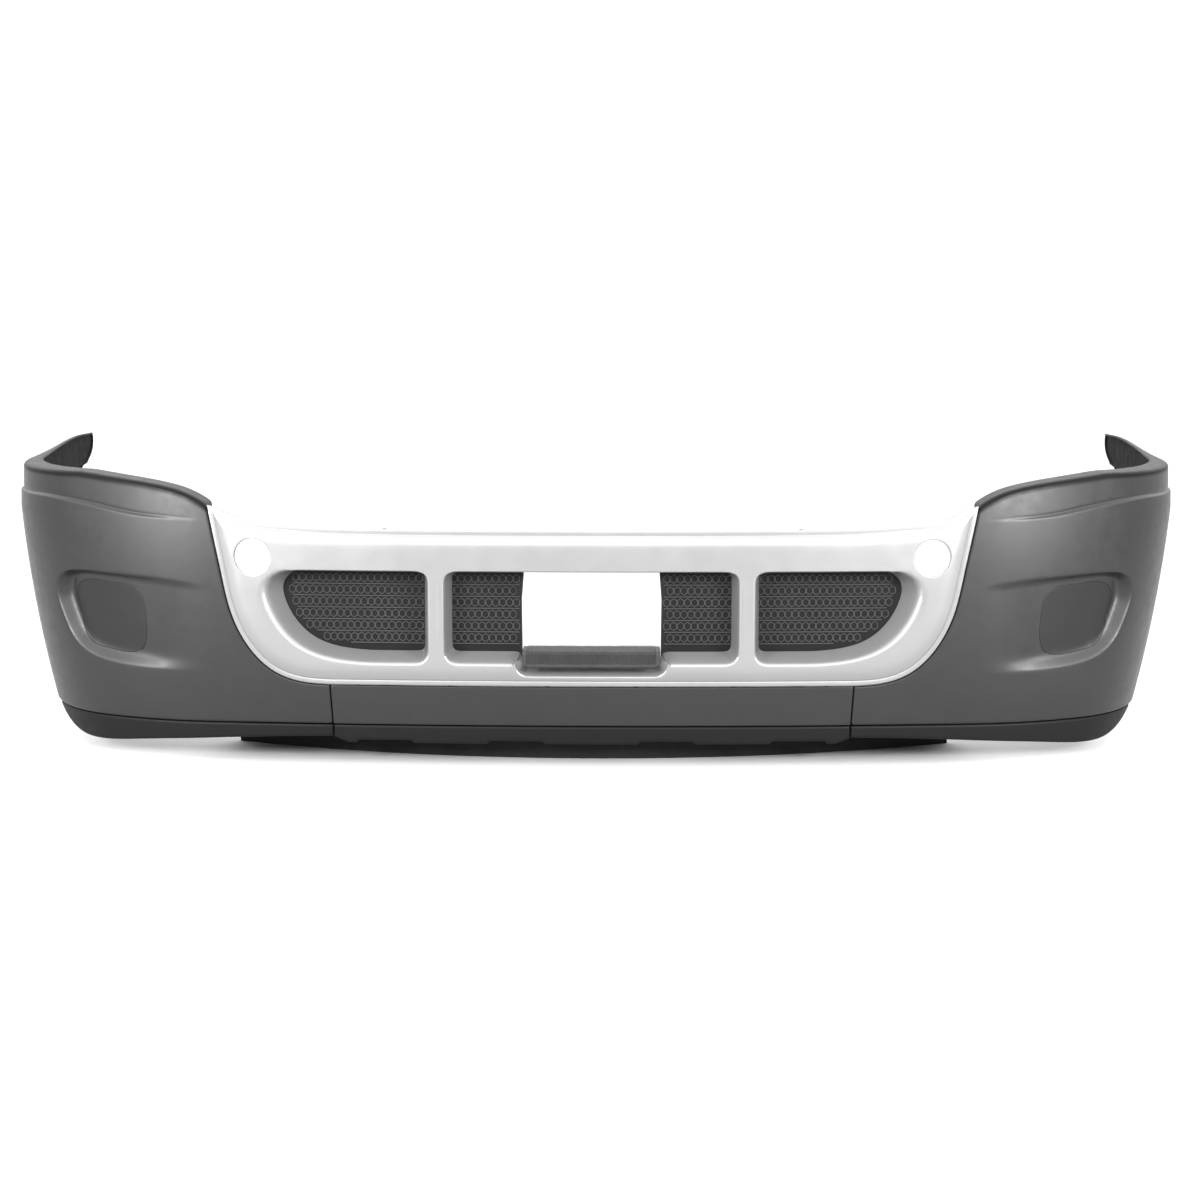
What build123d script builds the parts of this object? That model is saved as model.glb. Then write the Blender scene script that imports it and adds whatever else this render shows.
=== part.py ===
"""Front bumper cover assembly of a heavy road truck.

Frame: X to the right as seen from the front, front face towards -Y, +Z up.
Origin: centre plane, middle of the depth, lowest edge of the skirt. Millimetres.
"""

import os
from math import cos, radians, sin, sqrt

from build123d import *

os.makedirs("parts", exist_ok=True)

# ---- overall shape -------------------------------------------------------------
HALF_WIDTH = 1250.0        # at the waist line, the widest height
WAIST_HEIGHT = 500.0
SIDE_SLOPE = 0.12          # how the sides draw in below the waist
SIDE_CURVE = 1.3e-4
LEAN_HEIGHT = 230.0        # height of the foremost point of the front
FRONT_LEAN = 2.5           # set-back, mm for each (100 mm)^2 away from LEAN_HEIGHT
OVERALL_DEPTH = 902.0
DOME = 12.0                # how far the silver trim stands proud of the panels
FRONT_Y = DOME - OVERALL_DEPTH / 2
FRONT_RADIUS = 9000.0      # plan radius of the nearly flat front
FRONT_TURN = 5.0           # degrees of heading used by each plan arc
SHOULDER_TURN = 20.0
CORNER_RADIUS = 285.0
TOE_IN = 2.0               # side walls close in towards the rear, degrees
REAR_LIMIT = FRONT_Y + 960.0
ENVELOPE_HEIGHTS = (-20, 84, 230, 365, 500, 580, 660)
FRONT_LIMIT = 700.0        # reach of the cutting prisms either side of the part

# ---- panels --------------------------------------------------------------------
SKIN = 4.0                 # wall thickness of the mouldings
LAP = 0.5                  # overlap that joins a flange to its skin
GAP = 1.5                  # visible gap between neighbouring mouldings
PARTING_Z = 84.0           # grey panels above, black lips below
TRIM_BOTTOM = 168.0
TRIM_TOP = 486.0
SEAM_TOP_X = 536.0         # slanted seam beside the lower centre panel
SEAM_BOTTOM_X = 531.5
BEAD = 11.0                # flat flange round the trim's dome
RIM = 40.0                 # width of the rolled top flange
RETURN = 30.0              # depth of the hidden return flanges
PANEL_END = 37.0           # depth of the lower centre panel's end flanges
LIP_END_Y = 330.0          # the side lips run out this far behind the front
LIP_FLANGE = 3.5           # thickness of the lips' top flanges
LIP_SETBACK = 1.0          # the lips stand this far behind the panels
LIP_BOTTOM = 44.0          # lowest edge of the centre lip
CLIP_POST_RADIUS = 8.0     # posts behind the trim for the clips
SCREW_BOSS_RADIUS = 5.0    # bosses behind the trim for the grille screws
COLLAR_DEPTH = 25.0        # depth of the tow-eye collars

# ---- openings ------------------------------------------------------------------
OPENING_TOP = 397.0
OPENING_BOTTOM = 233.0
OPENING_FLAT_X = 454.0     # where the floor of the opening starts to curve up
PILLAR_X = 315.0
PILLAR_WIDTH = 56.0
OPENING_CORNER = 13.0
OPENING_DEPTH = 39.5       # how deep the rolled edges reach behind the panel face
WINDOW_HALF = 142.0
TOW_X = 690.0
TOW_Z = 430.0
TOW_RADIUS = 37.0
INSERT_DEPTH = 40.0
INSERT_SKIN = 3.0

# ---- fog-lamp scoop ------------------------------------------------------------
SCOOP_SHIFT = 45.0         # floor is the outer face moved this far inboard
SCOOP_WALL = 3.0
SCOOP_REACH = 70.0         # the scoop's walls are cut from a layer this deep
BLANK_GAP = 1.5
BLANK_STAND = 1.0
BLANK_LEG_LENGTH = 24.0
BLANK_LEGS = ((1000, 356, 14, 3), (935, 290, 3, 14), (1072, 290, 3, 14))  # x, z and their sizes

# ---- step ----------------------------------------------------------------------
PAD_HALF = 140.0
PAD_BOTTOM = 208.0
PAD_TOP = 243.0
PAD_SKIN = 7.0
PAD_FRONT = -15.0
PAD_BACK = 52.0

# ---- skirt ---------------------------------------------------------------------
SKIRT_SETBACK = 73.0
SKIRT_RADIUS = 2000.0
SKIRT_HEIGHT = 100.0
SKIRT_HALF = 760.0
SKIRT_SEAM_X = 487.0
SKIRT_GAP = 0.3

# ---- steel work ----------------------------------------------------------------
FRAME_RAIL_X = 432.0       # outer faces of the truck's frame rails are 864 apart
TUBE_WALL = 4.0
UPPER_BEAM = dict(half=625.0, low=424.0, high=474.0, front=62.0, back=112.0)
LOWER_BEAM = dict(half=860.0, low=100.0, high=160.0, front=60.0, back=112.0)
PLATE = 8.0
FOOT_HALF = 50.0           # half width of the bracket's feet
FEET = ((104.0, 156.0), (428.0, 470.0))  # lowest and highest edge of each foot
BRACKET_EDGE = ((170, 470), (330, 350), (330, 190), (190, 104))  # set-back and height
FRAME_HOLE_RADIUS = 9.0
FRAME_HOLES_Y = 120.0
FRAME_HOLES_Z = 90.0
FRAME_HOLES_AT = (240.0, 270.0)
BRACE_Z = 330.0
BRACE_RADIUS = 12.0
BRACE_BAR_Y = 214.0        # where the round bar starts on the eye plate
EYE_PLATE = dict(front=150.0, back=240.0, half_height=28.0, thick=6.0)
SHOE = dict(half_length=35.0, half_height=30.0, thick=6.0)
SHOE_INNER_X = 1100.0      # the shoe is cut from the layer outboard of this
SHEET = 4.0                # folded sheet of the step support
SUPPORT_HALF = 132.0       # half width of its shelf
SUPPORT_LEG_X = 120.0      # outer faces of its legs
SUPPORT_FRONT = -7.0
SUPPORT_LEG_Y = 64.0
SUPPORT_BACK = 104.0

# ---- fasteners -----------------------------------------------------------------
CLEARANCE = 0.3
BOLT_RADIUS = 6.0
BOLT_HEAD = 11.0
BOLT_HEAD_HEIGHT = 8.0
BOLT_SHANK = 26.0
BOLT_NUT_HEIGHT = 10.0
SCREW_RADIUS = 2.5
CLIP_RADIUS = 3.5
PIN_RADIUS = 4.0
STUD_RADIUS = 4.0
SCREW_HEAD = 6.0
SCREW_HEAD_HEIGHT = 3.5
SCREW_SHANK = 15.0
NUT_RADIUS = 5.0
NUT_HEIGHT = 4.0
PIN_HEAD = 9.0
PIN_SHANK = 14.0


# ================================================================================
# The outer surface
# ================================================================================
def half_width(z):
    """Half of the overall width at height z."""
    drop = max(0.0, WAIST_HEIGHT - z)
    return HALF_WIDTH - SIDE_SLOPE * drop - SIDE_CURVE * drop**2


def lean(z):
    """Set-back of the front at height z."""
    return FRONT_LEAN * ((z - LEAN_HEIGHT) / 100.0) ** 2


def shoulder(z):
    """X where the shoulder arc ends, and the shoulder arc's radius."""
    turn_1 = sin(radians(FRONT_TURN))
    turn_2 = sin(radians(FRONT_TURN + SHOULDER_TURN))
    end_x = half_width(z) - CORNER_RADIUS * (1 - turn_2)
    return end_x, (end_x - FRONT_RADIUS * turn_1) / (turn_2 - turn_1)


def face_y(x, z):
    """Y of the outer surface at (x, z), on the front and round the corner."""
    x = abs(x)
    turn_1 = sin(radians(FRONT_TURN))
    turn_2 = sin(radians(FRONT_TURN + SHOULDER_TURN))
    front_x = FRONT_RADIUS * turn_1
    end_x, radius = shoulder(z)
    y = FRONT_Y + lean(z)
    if x <= front_x:
        return y + FRONT_RADIUS - sqrt(FRONT_RADIUS**2 - x**2)
    y += FRONT_RADIUS * (1 - sqrt(1 - turn_1**2))
    if x <= end_x:
        heading = turn_1 + (x - front_x) / radius
        return y + radius * (sqrt(1 - turn_1**2) - sqrt(1 - heading**2))
    y += radius * (sqrt(1 - turn_1**2) - sqrt(1 - turn_2**2))
    heading = min(1.0, turn_2 + (x - end_x) / CORNER_RADIUS)
    return y + CORNER_RADIUS * (sqrt(1 - turn_2**2) - sqrt(1 - heading**2))


def plan_outline(z, inset):
    """Plan of the outer surface at height z, moved in by inset."""
    radius = shoulder(z)[1]
    corner_turn = 90.0 + TOE_IN - FRONT_TURN - SHOULDER_TURN
    start = (0, FRONT_Y + lean(z) + inset)
    with BuildSketch() as plan:
        with BuildLine():
            front = JernArc(start, (1, 0), FRONT_RADIUS - inset, FRONT_TURN)
            side = JernArc(front @ 1, front % 1, radius - inset, SHOULDER_TURN)
            corner = JernArc(side @ 1, side % 1, CORNER_RADIUS - inset, corner_turn)
            end = corner @ 1
            rear_x = end.X - (REAR_LIMIT - end.Y) * sin(radians(TOE_IN)) / cos(radians(TOE_IN))
            wall = Line(end, (rear_x, REAR_LIMIT))
            Line(wall @ 1, (0, REAR_LIMIT))
            mirror(about=Plane.YZ)
        make_face()
    return plan.sketch


def envelope(inset):
    """Solid block inside the outer surface moved in by inset."""
    with BuildPart() as block:
        for z in ENVELOPE_HEIGHTS:
            with BuildSketch(Plane.XY.offset(z)):
                add(plan_outline(z, inset))
        loft()
    return block.part


ENVELOPES = {}


def inside(inset):
    """The envelope for this inset, made once."""
    if inset not in ENVELOPES:
        ENVELOPES[inset] = envelope(inset)
    return ENVELOPES[inset]


def front_prism(outline):
    """Bar along Y whose section is the outline, drawn in X and Z."""
    with BuildPart() as bar:
        with BuildSketch(Plane.XZ):
            add(outline)
        extrude(amount=FRONT_LIMIT, both=True)
    return bar.part


def side_prism(outline):
    """Bar along X whose section is the outline, drawn in Y and Z."""
    with BuildPart() as bar:
        with BuildSketch(Plane.YZ):
            add(outline)
        extrude(amount=HALF_WIDTH + 50, both=True)
    return bar.part


def patch(outer, inner, prism):
    """Layer between two insets of the outer surface, inside the prism."""
    with BuildPart() as piece:
        add(inside(outer))
        add(inside(inner), mode=Mode.SUBTRACT)
        add(prism, mode=Mode.INTERSECT)
    return piece.part


def box_between(low, high):
    """Box from its lowest corner to its highest corner."""
    with BuildPart() as block:
        with BuildSketch(Plane.XY.offset(low[2])):
            with Locations(((low[0] + high[0]) / 2, (low[1] + high[1]) / 2)):
                Rectangle(high[0] - low[0], high[1] - low[1])
        extrude(amount=high[2] - low[2])
    return block.part


def moved_edge(outline, amount):
    """The outline with its edge moved out by amount, kept as plain splines."""
    with BuildSketch() as result:
        add(outline)
        offset(amount=amount)
    return result.sketch.to_splines()


def side_x(y, z):
    """X of the outer surface on the side wall, behind the corner."""
    toe = radians(TOE_IN)
    past_corner = y - face_y(half_width(z), z) - CORNER_RADIUS * sin(toe)
    return half_width(z) - CORNER_RADIUS * (1 - cos(toe)) - past_corner * sin(toe) / cos(toe)


# ================================================================================
# Outlines seen from the front, X and Z
# ================================================================================
SEAM_CURVE = [(600, 174), (650, 193), (700, 240), (738, 315), (757, 395), (772, 465), (786, 532)]
TRIM_TOP_CURVE = [(758, 524), (717, 506), (660, 497), (560, 490), (430, 487)]
D_END_CURVE = [(636, 375), (631, 330), (612, 296), (574, 260), (520, 240)]
END_TOP_CURVE = [(796, 538), (812, 547), (832, 556), (885, 570), (973, 582), (1068, 592)]
SCOOP_CURVE = [(930, 384), (1019, 389), (1078, 389), (1114, 377), (1126, 345), (1112, 292)]
SCOOP_CURVE += [(1085, 242), (1050, 216), (1000, 202), (914, 194)]
BLANK_SIDE = [(1086, 357), (1095, 338), (1090, 305), (1079, 266), (1056, 238)]
LIP_CURVE = [(640, 54), (812, 46), (945, 36), (1041, 27), (1090, 31), (1126, 49), (1160, 84)]


def trim_outline(shrink):
    """Outline of the silver trim, drawn in by shrink."""
    with BuildSketch() as outline:
        with BuildLine():
            floor = Line((0, TRIM_BOTTOM), (SEAM_TOP_X, TRIM_BOTTOM))
            seam = Spline([floor @ 1] + SEAM_CURVE, tangents=[(1, 0), (0.2, 1)])
            Spline([seam @ 1] + TRIM_TOP_CURVE + [(0, TRIM_TOP)], tangents=[(-1, -0.3), (-1, 0)])
            mirror(about=Plane.YZ)
        make_face()
    return moved_edge(outline.sketch, -shrink)


def outer_openings(grow):
    """The two D-ended openings outboard of the pillars."""
    edge_x = PILLAR_X + PILLAR_WIDTH / 2
    with BuildSketch() as outline:
        with BuildLine():
            Polyline((OPENING_FLAT_X, OPENING_BOTTOM), (edge_x, OPENING_BOTTOM), (edge_x, OPENING_TOP),
                     (612, OPENING_TOP))
            Spline([(612, OPENING_TOP)] + D_END_CURVE + [(OPENING_FLAT_X, OPENING_BOTTOM)],
                   tangents=[(1, 0), (-1, 0)])
        make_face()
    with BuildSketch() as both:
        add(moved_edge(outline.sketch, grow) if grow else outline.sketch)
        mirror(about=Plane.YZ)
    return both.sketch


def centre_opening(grow):
    """The opening between the pillars, with the notch for the step pad."""
    width = 2 * PILLAR_X - PILLAR_WIDTH
    notch_bottom = PAD_BOTTOM - GAP
    with BuildSketch() as outline:
        with Locations((0, (OPENING_TOP + OPENING_BOTTOM) / 2)):
            RectangleRounded(width + 2 * grow, OPENING_TOP - OPENING_BOTTOM + 2 * grow, OPENING_CORNER)
        with Locations((0, (notch_bottom + OPENING_TOP) / 2)):
            Rectangle(2 * (PAD_HALF + GAP + grow), OPENING_TOP - notch_bottom + 2 * grow)
    return outline.sketch


def trim_openings(grow):
    """All the trim's openings, drawn out by grow."""
    with BuildSketch() as outline:
        add(outer_openings(grow))
        add(centre_opening(grow))
    return outline.sketch


def opening_walls():
    """Rolled edges of the trim's openings."""
    with BuildSketch() as outline:
        add(trim_openings(SKIN))
        add(trim_openings(0), mode=Mode.SUBTRACT)
    return outline.sketch


def tow_holes(radius):
    """The two round tow-eye holes."""
    with BuildSketch() as outline:
        with Locations((-TOW_X, TOW_Z), (TOW_X, TOW_Z)):
            Circle(radius)
    return outline.sketch


def grille_outline():
    """Right grille insert, lapping the trim's rolled edges from behind."""
    top = OPENING_TOP + 20
    bottom = OPENING_BOTTOM - 18
    with BuildSketch() as outline:
        with BuildLine():
            Polyline((OPENING_FLAT_X, bottom), (WINDOW_HALF, bottom), (WINDOW_HALF, top), (612, top))
            Spline([(612, top), (650, 375), (644, 325), (624, 284), (584, 247), (524, 222),
                    (OPENING_FLAT_X, bottom)], tangents=[(1, 0), (-1, 0)])
        make_face()
    return outline.sketch


def lower_panel_outline():
    """Lower centre panel, with its slanted ends."""
    top = TRIM_BOTTOM - GAP
    with BuildSketch() as outline:
        with BuildLine():
            Polyline((0, PARTING_Z), (SEAM_BOTTOM_X - GAP / 2, PARTING_Z),
                     (SEAM_TOP_X - GAP / 2, top), (0, top))
            mirror(about=Plane.YZ)
        make_face()
    return outline.sketch


def end_outline():
    """Right end cover seen from the front, cut back from the trim."""
    with BuildSketch() as outline:
        with BuildLine():
            top = Spline([(783, 531)] + END_TOP_CURVE, tangents=[(1, 0.5), (1, 0.1)])
            Polyline(top @ 1, (1300, 625), (1300, PARTING_Z), (SEAM_BOTTOM_X + GAP / 2, PARTING_Z),
                     (SEAM_TOP_X + GAP / 2, TRIM_BOTTOM + 30), top @ 0)
        make_face()
        add(trim_outline(-GAP), mode=Mode.SUBTRACT)
    return outline.sketch


def scoop_outline(shrink):
    """Fog-lamp scoop of the right end cover."""
    with BuildSketch() as outline:
        with BuildLine():
            rim = Spline([(845, 368)] + SCOOP_CURVE + [(845, 205)], tangents=[(1, 0.3), (-1, 0.1)])
            Line(rim @ 1, rim @ 0)
        make_face()
    return moved_edge(outline.sketch, -shrink) if shrink else outline.sketch


def blank_outline(shrink):
    """Lamp aperture in the floor of the right scoop."""
    with BuildSketch() as outline:
        with BuildLine():
            top = Line((958, 364), (1060, 368))
            side = Spline([top @ 1] + BLANK_SIDE, tangents=[(1, 0), (-0.8, -0.6)])
            floor = Spline([side @ 1, (1009, 225), (962, 221), (934, 229)],
                           tangents=[(-0.8, -0.6), (-1, 0.7)])
            Spline([floor @ 1, (923, 262), (925, 312), (938, 352), top @ 0],
                   tangents=[(-1, 0.7), (1, 0.1)])
        make_face()
    return moved_edge(outline.sketch, -shrink) if shrink else outline.sketch


def centre_lip_outline():
    """Centre lip with four shallow notches in its lower edge."""
    bottom = LIP_BOTTOM
    top = PARTING_Z - GAP
    with BuildSketch() as outline:
        with BuildLine():
            Polyline((0, bottom), (SEAM_BOTTOM_X - 30, bottom), (SEAM_BOTTOM_X - GAP, 56),
                     (SEAM_BOTTOM_X - GAP / 2, top), (0, top))
            mirror(about=Plane.YZ)
        make_face()
        with Locations((-425, bottom), (-155, bottom), (155, bottom), (425, bottom)):
            SlotOverall(120, 12, mode=Mode.SUBTRACT)
    return outline.sketch


def side_lip_outline():
    """Right lip: it runs out on the corner."""
    top = PARTING_Z - GAP
    with BuildSketch() as outline:
        with BuildLine():
            low = Spline([(SEAM_BOTTOM_X + GAP / 2, 57)] + LIP_CURVE)
            Polyline(low @ 1, (SEAM_BOTTOM_X + GAP / 2, 84), low @ 0)
        make_face()
        with Locations((850, top + 50)):
            Rectangle(700, 100, mode=Mode.SUBTRACT)
    return outline.sketch


# ================================================================================
# Outlines seen from the side, Y and Z
# ================================================================================
def end_side_outline():
    """End cover seen from the side: wheel-arch edge behind, gently arched rim on top."""
    y = FRONT_Y
    with BuildSketch() as outline:
        with BuildLine():
            rear = Spline([(y + 478, PARTING_Z), (y + 540, 200), (y + 650, 370), (y + 815, 535),
                           (y + 888, 590)])
            tip = Spline([rear @ 1, (y + 886, 603), (y + 862, 609)], tangents=[rear % 1, (-1, 0.15)])
            top = Spline([tip @ 1, (y + 740, 613), (y + 575, 603), (y + 405, 595), (y + 141, 592)],
                         tangents=[tip % 1, (-1, 0)])
            Polyline(top @ 1, (y + 120, 640), (y - 60, 640), (y - 60, PARTING_Z), rear @ 0)
        make_face()
    return outline.sketch


# ================================================================================
# Fastener groups
# ================================================================================
def up_planes(places):
    """Planes facing +Z at the (x, y, z) places."""
    return [Plane(origin=place, x_dir=(1, 0, 0), z_dir=(0, 0, 1)) for place in places]


def back_planes(places):
    """Planes facing +Y at the (x, y, z) places."""
    return [Plane(origin=place, x_dir=(1, 0, 0), z_dir=(0, 1, 0)) for place in places]


def across_planes(places):
    """Planes facing +X at the (x, y, z) places."""
    return [Plane(origin=place, x_dir=(0, 1, 0), z_dir=(1, 0, 0)) for place in places]


def posts(planes, radius, length):
    """Round posts standing on the -Z side of each plane."""
    with BuildPart() as group:
        with BuildSketch(*planes):
            Circle(radius)
        extrude(amount=-length)
    return group.part


def holes(planes, radius, reach):
    """Clearance pegs to take away, reach to each side of each plane."""
    with BuildPart() as group:
        with BuildSketch(*planes):
            Circle(radius + CLEARANCE)
        extrude(amount=reach, both=True)
    return group.part


def screw_group(planes, radius, head_radius, shank, head, sides=0):
    """One screw per plane: head on the plane's +Z side, shank down its -Z side."""
    with BuildPart() as group:
        with BuildSketch(*planes):
            if sides:
                RegularPolygon(head_radius, sides)
            else:
                Circle(head_radius)
        extrude(amount=head)
        with BuildSketch(*planes):
            Circle(radius)
        extrude(amount=-shank)
    return group.part


def nut_group(planes, radius, nut_radius, height):
    """One hexagon nut per plane, standing on its +Z side."""
    with BuildPart() as group:
        with BuildSketch(*planes):
            RegularPolygon(nut_radius, 6)
            Circle(radius + CLEARANCE / 2, mode=Mode.SUBTRACT)
        extrude(amount=height)
    return group.part


def mirrored_x(places):
    """The places and their mirror images across the centre plane."""
    return list(places) + [(-x, y, z) for x, y, z in places]


def finish(part, name):
    """Label a finished piece and write it."""
    part.label = name
    export_step(part, f"parts/{name}.step")


def on_face(points, z, behind):
    """Places at the given x values and height z, behind the outer surface."""
    return [(x, face_y(x, z) + behind, z) for x in points]


CLIP_PLACES = [(x, FRONT_Y + UPPER_BEAM["front"], 449) for x in (180, 540)]
TRIM_SCREW_PLACES = on_face((90, 290, 480), TRIM_BOTTOM, 14)
LIP_SCREW_PLACES = on_face((90, 260, 430, 620, 760, 900), PARTING_Z, 20)
GRILLE_PLACES = on_face((200, 420, 600), 409, INSERT_DEPTH) + on_face((200, 420), 221, INSERT_DEPTH)
SEAM_SCREW_PLACES = [(532.6, FRONT_Y + 35, 104), (534.9, FRONT_Y + 35, 148)]
BEAM_BOLT_PLACES = [(FRAME_RAIL_X + side, FRONT_Y + UPPER_BEAM["back"], z)
                    for side in (-30, 30) for z in (449, 130)]
PIN_PLACES = [(x, FRONT_Y + 98, SKIRT_HEIGHT) for x in (150, 400, 560, 680)]
BRACE_BOLT_PLACES = [(FRAME_RAIL_X + PLATE, FRONT_Y + 175, BRACE_Z)]
SHOE_Y = FRONT_Y + 430
STUD_PLACES = [(side_x(SHOE_Y, BRACE_Z + side) - SKIN / 2, SHOE_Y, BRACE_Z + side) for side in (-22, 22)]


def make_fasteners():
    """Every group of identical fasteners, right-hand side; the left is its mirror image."""
    groups = {}
    # bolts through bracket foot and beam wall, nut inside the beam
    heads = [(x, y + PLATE, z) for x, y, z in BEAM_BOLT_PLACES]
    nuts = [(x, y - TUBE_WALL - BOLT_NUT_HEIGHT, z) for x, y, z in BEAM_BOLT_PLACES]
    bolts = screw_group(back_planes(heads), BOLT_RADIUS, BOLT_HEAD, BOLT_SHANK, BOLT_HEAD_HEIGHT, sides=6)
    groups["beam_bolts"] = [bolts, nut_group(back_planes(nuts), BOLT_RADIUS, BOLT_HEAD, BOLT_NUT_HEIGHT)]
    # barbed clips from the trim's posts into the upper beam
    clips = [(x, y - 6, z) for x, y, z in CLIP_PLACES]
    groups["trim_clips"] = [screw_group(back_planes(clips), CLIP_RADIUS, 3, 10, 16),
                            screw_group(back_planes(clips), CLIP_RADIUS, 8, 0.5, 5.5)]
    # screws down through the trim's flange and the lower panel's top flange
    heads = [(x, y, TRIM_BOTTOM + 4) for x, y, z in TRIM_SCREW_PLACES]
    nuts = [(x, y, TRIM_BOTTOM - GAP - 7) for x, y, z in TRIM_SCREW_PLACES]
    groups["trim_screws"] = [screw_group(up_planes(heads), SCREW_RADIUS, SCREW_HEAD, 14, SCREW_HEAD_HEIGHT),
                             nut_group(up_planes(nuts), SCREW_RADIUS, NUT_RADIUS, NUT_HEIGHT)]
    # screws across the slanted seams
    heads = [(x + 5, y, z) for x, y, z in SEAM_SCREW_PLACES]
    nuts = [(x - 9, y, z) for x, y, z in SEAM_SCREW_PLACES]
    screws = screw_group(across_planes(heads), SCREW_RADIUS, SCREW_HEAD, SCREW_SHANK, SCREW_HEAD_HEIGHT)
    groups["seam_screws"] = [screws, nut_group(across_planes(nuts), SCREW_RADIUS, NUT_RADIUS, NUT_HEIGHT)]
    # screws up through the lips' flanges
    heads = [(x, y, z - GAP - LIP_FLANGE) for x, y, z in LIP_SCREW_PLACES]
    nuts = [(x, y, z + SKIN) for x, y, z in LIP_SCREW_PLACES]
    shanks = [(x, y, z + 9) for x, y, z in LIP_SCREW_PLACES]
    groups["lip_screws"] = [posts(up_planes(shanks), SCREW_RADIUS, SCREW_SHANK),
                            posts(up_planes(heads), SCREW_HEAD, SCREW_HEAD_HEIGHT),
                            nut_group(up_planes(nuts), SCREW_RADIUS, NUT_RADIUS, NUT_HEIGHT)]
    # push pins up through the skirt's shelf into the lower beam
    tips = [(x, y, z + 9) for x, y, z in PIN_PLACES]
    heads = [(x, y, z - SKIN) for x, y, z in PIN_PLACES]
    groups["skirt_push_pins"] = [posts(up_planes(tips), PIN_RADIUS, PIN_SHANK),
                                 posts(up_planes(heads), PIN_HEAD, 4)]
    # screws forward through the inserts into the trim's bosses
    heads = [(x, y + 3.6, z) for x, y, z in GRILLE_PLACES]
    groups["grille_screws"] = [screw_group(back_planes(heads), SCREW_RADIUS, SCREW_HEAD, SCREW_SHANK,
                                           SCREW_HEAD_HEIGHT)]
    # bolt through the brace's eye, and nuts on the end cover's studs
    heads = [(x + 6, y, z) for x, y, z in BRACE_BOLT_PLACES]
    nuts = [(x - PLATE - BOLT_NUT_HEIGHT, y, z) for x, y, z in BRACE_BOLT_PLACES]
    stud_nuts = [(x - 19, y, z) for x, y, z in STUD_PLACES]
    bolts = screw_group(across_planes(heads), BOLT_RADIUS, BOLT_HEAD, BOLT_SHANK, BOLT_HEAD_HEIGHT, sides=6)
    groups["brace_bolts"] = [bolts, nut_group(across_planes(nuts), BOLT_RADIUS, BOLT_HEAD, BOLT_NUT_HEIGHT),
                             nut_group(across_planes(stud_nuts), STUD_RADIUS, 2 * STUD_RADIUS, 6)]
    return groups


# ================================================================================
# Mouldings
# ================================================================================
def post_length(place):
    """Length of a post from this place forward into the trim's dome."""
    return place[1] - face_y(place[0], place[2]) + DOME - SKIN / 2


def make_center_trim():
    """Silver surround: flange, dome, rolled opening edges, tow-eye collars, bosses."""
    whole = front_prism(trim_outline(GAP / 2))
    dome = front_prism(trim_outline(BEAD))
    dome_core = front_prism(trim_outline(BEAD + SKIN))
    flange = box_between((-510, FRONT_Y - 4, TRIM_BOTTOM + 1), (510, FRONT_Y + 36, TRIM_BOTTOM + 4))
    clip_ends = [(x, y - 6, z) for x, y, z in mirrored_x(CLIP_PLACES)]
    boss_ends = [(x, y - 0.4, z) for x, y, z in mirrored_x(GRILLE_PLACES)]
    with BuildPart() as trim:
        add(patch(-DOME, SKIN - DOME, dome))
        add(patch(-DOME, 0, dome - dome_core))
        add(patch(-SKIN, 0, whole - dome_core))
        add(patch(-DOME, OPENING_DEPTH, front_prism(opening_walls())))
        add(front_prism(trim_openings(0)), mode=Mode.SUBTRACT)
        add(patch(-DOME, COLLAR_DEPTH, front_prism(tow_holes(TOW_RADIUS + SKIN))))
        add(front_prism(tow_holes(TOW_RADIUS)), mode=Mode.SUBTRACT)
        # bottom flange that lies on the lower centre panel
        add(flange)
        add(holes(up_planes(mirrored_x(TRIM_SCREW_PLACES)), SCREW_RADIUS, 8), mode=Mode.SUBTRACT)
        # posts for the clips in the upper beam, and bosses for the grille screws
        for place in clip_ends:
            add(posts(back_planes([place]), CLIP_POST_RADIUS, post_length(place)))
        add(holes(back_planes(clip_ends), CLIP_RADIUS, 12), mode=Mode.SUBTRACT)
        for place in boss_ends:
            add(posts(back_planes([place]), SCREW_BOSS_RADIUS, post_length(place)))
        add(holes(back_planes(boss_ends), SCREW_RADIUS, 15), mode=Mode.SUBTRACT)
    return trim.part


def make_grille_insert():
    """Right grille insert: closed mesh plate with a rolled edge at the window."""
    edge_low = (WINDOW_HALF, FRONT_Y + 12, PAD_TOP + 6)
    edge_high = (WINDOW_HALF + 5, FRONT_Y + INSERT_DEPTH + 2, OPENING_TOP - 4)
    with BuildPart() as insert:
        add(patch(INSERT_DEPTH, INSERT_DEPTH + INSERT_SKIN, front_prism(grille_outline())))
        add(box_between(edge_low, edge_high))
        add(holes(back_planes(GRILLE_PLACES), SCREW_RADIUS, 20), mode=Mode.SUBTRACT)
    return insert.part


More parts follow.
